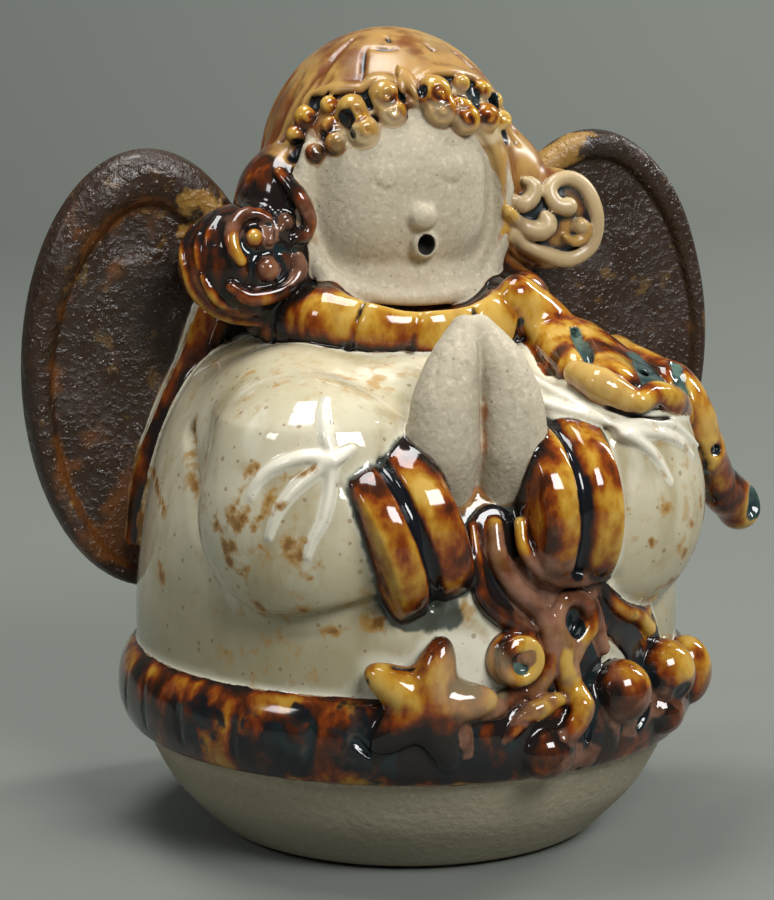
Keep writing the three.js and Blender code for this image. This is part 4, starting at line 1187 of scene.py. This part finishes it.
# Stoneware. Glazed and bare stoneware on one fired body, so one material: bare clay, cream glaze, amber
# glaze and the wings' brown slip, each within its own bounds. A glaze is glassy, so its IOR is a glass's.
stoneware = bpy.data.materials.new("fired_stoneware")
stoneware.use_nodes = True
tree = stoneware.node_tree
shader = tree.nodes["Principled BSDF"]
shader.inputs["IOR"].default_value = 1.5


def node(kind, inputs=(), out=0, **settings):
    """Adds a node of a kind with its settings, gives its inputs, by number or by name, a value, a colour's
    code or a link, and returns one of its outputs."""
    made = tree.nodes.new("ShaderNode" + kind)
    for name, value in settings.items():
        setattr(made, name, value)
    for name, value in (inputs if isinstance(inputs, dict) else dict(enumerate(inputs))).items():
        if isinstance(value, bpy.types.NodeSocket):
            tree.links.new(value, made.inputs[name])
        else:
            made.inputs[name].default_value = linear(value) if isinstance(value, str) else value
    return made.outputs[out]


place = node("TexCoord", out="Object")
height = node("SeparateXYZ", [place], out="Z")


def trace(value, span, ragged=None):
    """A value, or the one stored at the skin's corners under a name, with a noise added to make its bounds
    ragged, read over a span: as it goes from the first number to the second, the result goes smoothly from
    the third to the fourth."""
    if isinstance(value, str):
        value = node("Attribute", out="Fac", attribute_name=value)
    if ragged:
        value = node("Math", [value, ragged], operation="ADD")
    return node("MapRange", [value, *span], interpolation_type="SMOOTHSTEP")


def grain(size_mm, detail=2.0, seed=0.0, span=None, stretch=(1, 1, 1)):
    """Noise whose features are about size_mm across, from 0 to 1, or read over a span as a trace is."""
    moved = node("Mapping", {"Vector": place, "Location": (seed, seed * 0.7, 0), "Scale": stretch})
    scale = 1000 / size_mm / 2
    noise = node("TexNoise", {"Vector": moved, "Scale": scale, "Detail": detail, "Roughness": 0.55})
    return trace(noise, span) if span else noise


def specks(apart_mm, size_mm, share, seed, strength=1.0):
    """Round specks: strength inside a spot of about size_mm in a share of cells apart_mm wide, 0 outside."""
    moved = node("Mapping", {"Vector": place, "Location": (seed, seed * 0.7, 0)})
    cells = node("TexVoronoi", {"Vector": moved, "Scale": 1000 / apart_mm}, out="Distance")
    chance = node("SeparateColor", [cells.node.outputs["Color"]])
    reach = node("Math", [trace(chance, (1 - share, 1, 0, 1)), size_mm / apart_mm / 2], operation="MULTIPLY")
    rough_edge = node("Math", [cells, grain(0.7, 2, seed, (0, 1, -0.06, 0.06))], operation="ADD")
    inside = node("Math", [rough_edge, reach], operation="LESS_THAN")
    return node("Math", [inside, strength], operation="MULTIPLY")


def washed(colour, *washes):
    """A colour with washes laid over it in turn, each a share and the colour it brings."""
    for share, wash in washes:
        colour = node("Mix", {0: share, 6: colour, 7: wash}, out=2, data_type="RGBA")
    return colour


# Bare clay: grogged buff stoneware, sponged but unglazed, so it is matt, sandy and finely speckled. Iron
# from the glaze stained it along its bounds.
bare_clay = washed(
    "#9f957f",
    (grain(9, 3), "#b3a993"),
    (grain(0.6, 1, 3, (0.5, 0.75, 0, 0.45)), "#c6bda8"),
    (grain(0.8, 1, 5, (0.55, 0.75, 0, 0.35)), "#857b66"),
    (specks(1.6, 0.6, 0.3, 7, 0.6), "#5f5543"),
    # Darker on the foot below about 2 cm: painted shade, partly a browner clay tone.
    (trace(height, (0.018, 0.026, 0.6, 0)), "#7f7864"),
    (trace("bare_glaze", (0.05, 0.5, 0.7, 0), grain(3, 2, 0, (0.3, 0.7, -0.3, 0.3))), "#8a6238"),
    (trace("rust", (0.3, 0.95, 0, 0.85), grain(2, 3, 117, (0.3, 0.7, -0.25, 0.25))), "#9a6330"),
    # Near black at the cuffs' bounds and under the hands: dark glaze at the cuffs, painted shade under the
    # hands.
    (trace("edge", (0.4, 0.9, 0, 0.9)), "#2a1c12"),
    (trace("ink", (0.35, 0.9, 0, 0.9)), "#3a2415"),
)

# Cream glaze: a thick, glossy, slightly milky glaze with iron specks, whiter where it lies thick on the
# creases and against the amber, and blue-black where the amber ran under it. Towards the hem and in the
# creases it is painted browner and darker, which is painted shade over a glaze that ran thin and pooled
# there, and it is painted near black in the crook of the right sleeve, between the wing's join and the body
# and under the hands and the left cuff, which is painted shade.
iron_dots, iron_clouds = grain(2.0, 4, 19, (0.3, 0.7, -0.42, 0.42)), grain(14, 3, 21, (0.45, 0.7, 0, 0.22))
iron_blots = node("Math", [iron_dots, iron_clouds], operation="ADD")
cream = washed(
    "#ada486",
    (grain(11, 3, 2), "#cbc5af"),
    (grain(26, 2, 5, (0.4, 0.65, 0, 0.5)), "#a99d7a"),
    (grain(6, 4, 63, (0.48, 0.7, 0, 0.75), (1, 1, 0.3)), "#978a64"),
    (grain(7, 4, 65, (0.52, 0.72, 0, 0.6), (1, 1, 0.4)), "#d9d6c4"),
    (grain(2.6, 4, 9, (0.52, 0.8, 0, 0.5)), "#9a8c66"),
    # Darker and more olive towards the hem: painted shade on the lower body, partly a thinner glaze.
    (trace(height, (0.045, 0.075, 0.75, 0), grain(12, 2, 107, (0, 1, -0.012, 0.012))), "#8b8364"),
    (trace("pale", (0.15, 0.8, 0, 0.75)), "#dedac9"),
    (trace("cream_glaze", (0.3, 2.2, 0.85, 0)), "#d6d2bd"),
    (specks(2.2, 1.1, 0.45, 11, 0.55), "#75532a"),
    (trace("rust", (0.28, 0.75, 0, 0.8), iron_blots), "#a0762f"),
    (trace("rust", (0.62, 1.0, 0, 0.8), iron_blots), "#70481c"),
    # Darker in the creases: painted shade, partly glaze pooled there.
    (trace("pool", (0.3, 0.8, 0, 0.6)), "#6c6146"),
    # Near black at the cuffs and some seams: dark glaze where the amber ran under the cream, and painted
    # shade in the crook of the right sleeve, beside the wing's join and under the hands and the left cuff.
    (trace("edge", (0.3, 0.85, 0, 0.92), grain(2, 3, 57, (0.3, 0.7, -0.2, 0.2))),
     washed("#1c211f", (grain(3, 2, 119), "#3a4a44"))),
    (trace("shade", (0.3, 0.8, 0, 0.95)), "#20221f"),
)

# Amber glaze: iron-rich and runny. It breaks orange to yellow on ridges, and pools red-brown, then
# nearly black with a blue-green edge in the hollows. Over the combed hair it is a dull tan.
AMBER_BY_DEPTH = [(0.0, "#b89446"), (0.16, "#ab802a"), (0.32, "#935c16"), (0.46, "#74330e"), (0.6, "#46200c"),
                  (0.8, "#1c1512")]
THINNEST = 0.42
pool, wide_pool, deep, ground = (node("Attribute", out="Fac", attribute_name=name)
                                 for name in ("pool", "wide_pool", "depth", "ground"))
pool_depth, wide_depth, sunken = (node("Math", [value, share], operation="MULTIPLY")
                                  for value, share in ((pool, 0.6), (wide_pool, 0.15), (ground, 0.6)))
clouds = grain(9, 3, 23, (0.28, 0.72, -0.34, 0.34), (1, 1, 0.7))
mottle = grain(2.6, 5, 29, (0.28, 0.72, -0.22, 0.22), (1, 1, 0.6))
depth = pool_depth
for more in (wide_depth, clouds, mottle, deep, THINNEST):
    depth = node("Math", [depth, more], operation="ADD")
amber = node("ValToRGB", [depth])
stops = amber.node.color_ramp.elements
for k, (at, code) in enumerate(AMBER_BY_DEPTH):
    stop = stops[k] if k < 2 else stops.new(at)
    stop.position = at
    stop.color = linear(code)

combed = washed(
    "#a27d42",
    (trace("pool", (-0.4, 0.45, 0, 1), grain(4, 4, 83, (0.3, 0.7, -0.5, 0.5), (1, 1, 0.22))), "#6b3c17"),
    (grain(7, 3, 97, (0.48, 0.7, 0, 0.65), (1, 1, 0.4)), "#998659"),
    (trace("pale", (0.2, 0.9, 0, 0.85)), "#b0a080"),
)
pooled = washed("#121418", (grain(5, 2, 41, (0.45, 0.62, 0, 1)), "#1a2628"))
scored_in = trace("ink", (0.35, 0.7, 0, 1), grain(3, 2, 37, (0.3, 0.7, -0.2, 0.2)))
amber = washed(
    amber,
    (trace("tan", (0.3, 0.7, 0, 0.9), grain(8, 3, 89, (0.3, 0.7, -0.3, 0.3))), combed),
    (trace("pale", (0.6, 1.3, 0, 0.6)), "#b9a47c"),
    (trace("bed", (0.4, 0.7, 0, 0.95), grain(3, 3, 101, (0.3, 0.7, -0.3, 0.3))), pooled),
    (trace("pink", (0.35, 0.75, 0, 0.85), grain(6, 3, 31, (0.3, 0.7, -0.5, 0.5))),
     washed("#4e2c1a", (grain(3, 4, 33, (0.3, 0.7, 0, 1)), "#8a6450"))),
    (trace("teal", (0.35, 0.75, 0, 1), grain(3, 3, 39, (0.3, 0.7, -0.25, 0.25))),
     washed("#1b2b2f", (grain(4, 3, 45, (0.35, 0.7, 0, 1)), "#587064"))),
    (node("Math", [scored_in, trace("pool", (0.75, 1.0, 0, 1), sunken)], operation="MAXIMUM"), pooled),
)

# The wings' slip: a dry, gritty iron brown with pinholes whose glints are painted on as pale specks, rubbed
# orange along its edges, and gold where the amber glaze ran over it.
slip = washed(
    "#1d130b",
    (grain(14, 3, 43), "#352212"),
    (trace("rust", (0.4, 1.1, 0, 0.75), grain(5, 3, 103, (0.3, 0.7, -0.6, 0.6))),
     washed("#4c2a10", (grain(3, 3, 107), "#7a4718"))),
    (grain(2.2, 3, 47, (0.55, 0.75, 0, 0.3)), "#4a362c"),
    # Pale specks: painted glints of the pinholes.
    (specks(1.1, 0.5, 0.2, 109), "#8f8078"),
    (trace("gold", (0.35, 0.8, 0, 0.95), grain(3, 4, 49, (0.3, 0.7, -0.5, 0.5))),
     washed("#6a4014", (grain(2.4, 3, 51), "#b08c44"))),
)

# The bounds between the finishes wander by a few tenths of a millimetre, as brushed and dipped ones do.
# Glazes are glossy, the combed hair's less so, and bare clay and slip are dry.
wander = grain(2.5, 3, 53, (0.25, 0.75, -0.45, 0.45))
is_amber = trace("amber_glaze", (-0.12, 0.12, 0, 1), wander)
is_cream = trace("cream_glaze", (-0.12, 0.12, 0, 1), wander)
is_wing = trace("wing_glaze", (-0.3, 0.3, 0, 1), wander)
is_shaded = trace("shade", (0.45, 0.9, 0, 1))
colour = washed(bare_clay, (is_cream, cream), (is_amber, amber), (is_wing, slip), (is_shaded, "#1b1310"))
glossy = node("Math", [is_amber, is_cream], operation="MAXIMUM")
dulled = node("Math", [is_amber, trace("tan", (0.3, 0.8, 0, 1))], operation="MULTIPLY")
roughness = 0.82
for share, finish_roughness in ((glossy, grain(7, 2, 59, (0.4, 0.7, 0.06, 0.11))), (dulled, 0.32),
                                (is_wing, grain(3, 2, 61, (0.3, 0.7, 0.26, 0.48)))):
    roughness = node("Mix", {0: share, 2: roughness, 3: finish_roughness}, data_type="FLOAT")

# The relief that is too fine for the mesh, in mm: the bare clay's grit, a slow wave in every surface, and
# the slip's blisters.
unglazed = node("Math", [1.0, glossy], operation="SUBTRACT")
grit = node("Math", [unglazed, grain(0.9, 3, 67, (0.2, 0.8, 0, 0.12))], operation="MULTIPLY")
blisters = node("Math", [is_wing, grain(0.8, 3, 73, (0.45, 0.75, 0, 0.22))], operation="MULTIPLY")
relief = node("Math", [grit, grain(6, 1, 71, (0.2, 0.8, 0, 0.10))], operation="ADD")
relief = node("Math", [relief, blisters], operation="ADD")
bump = node("Bump", {"Height": relief, "Strength": 1.0, "Distance": 0.001})
for socket, link in (("Base Color", colour), ("Roughness", roughness), ("Normal", bump)):
    tree.links.new(link, shader.inputs[socket])

skin.materials.append(stoneware)
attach(angel, "root")
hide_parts("angel_figurine")
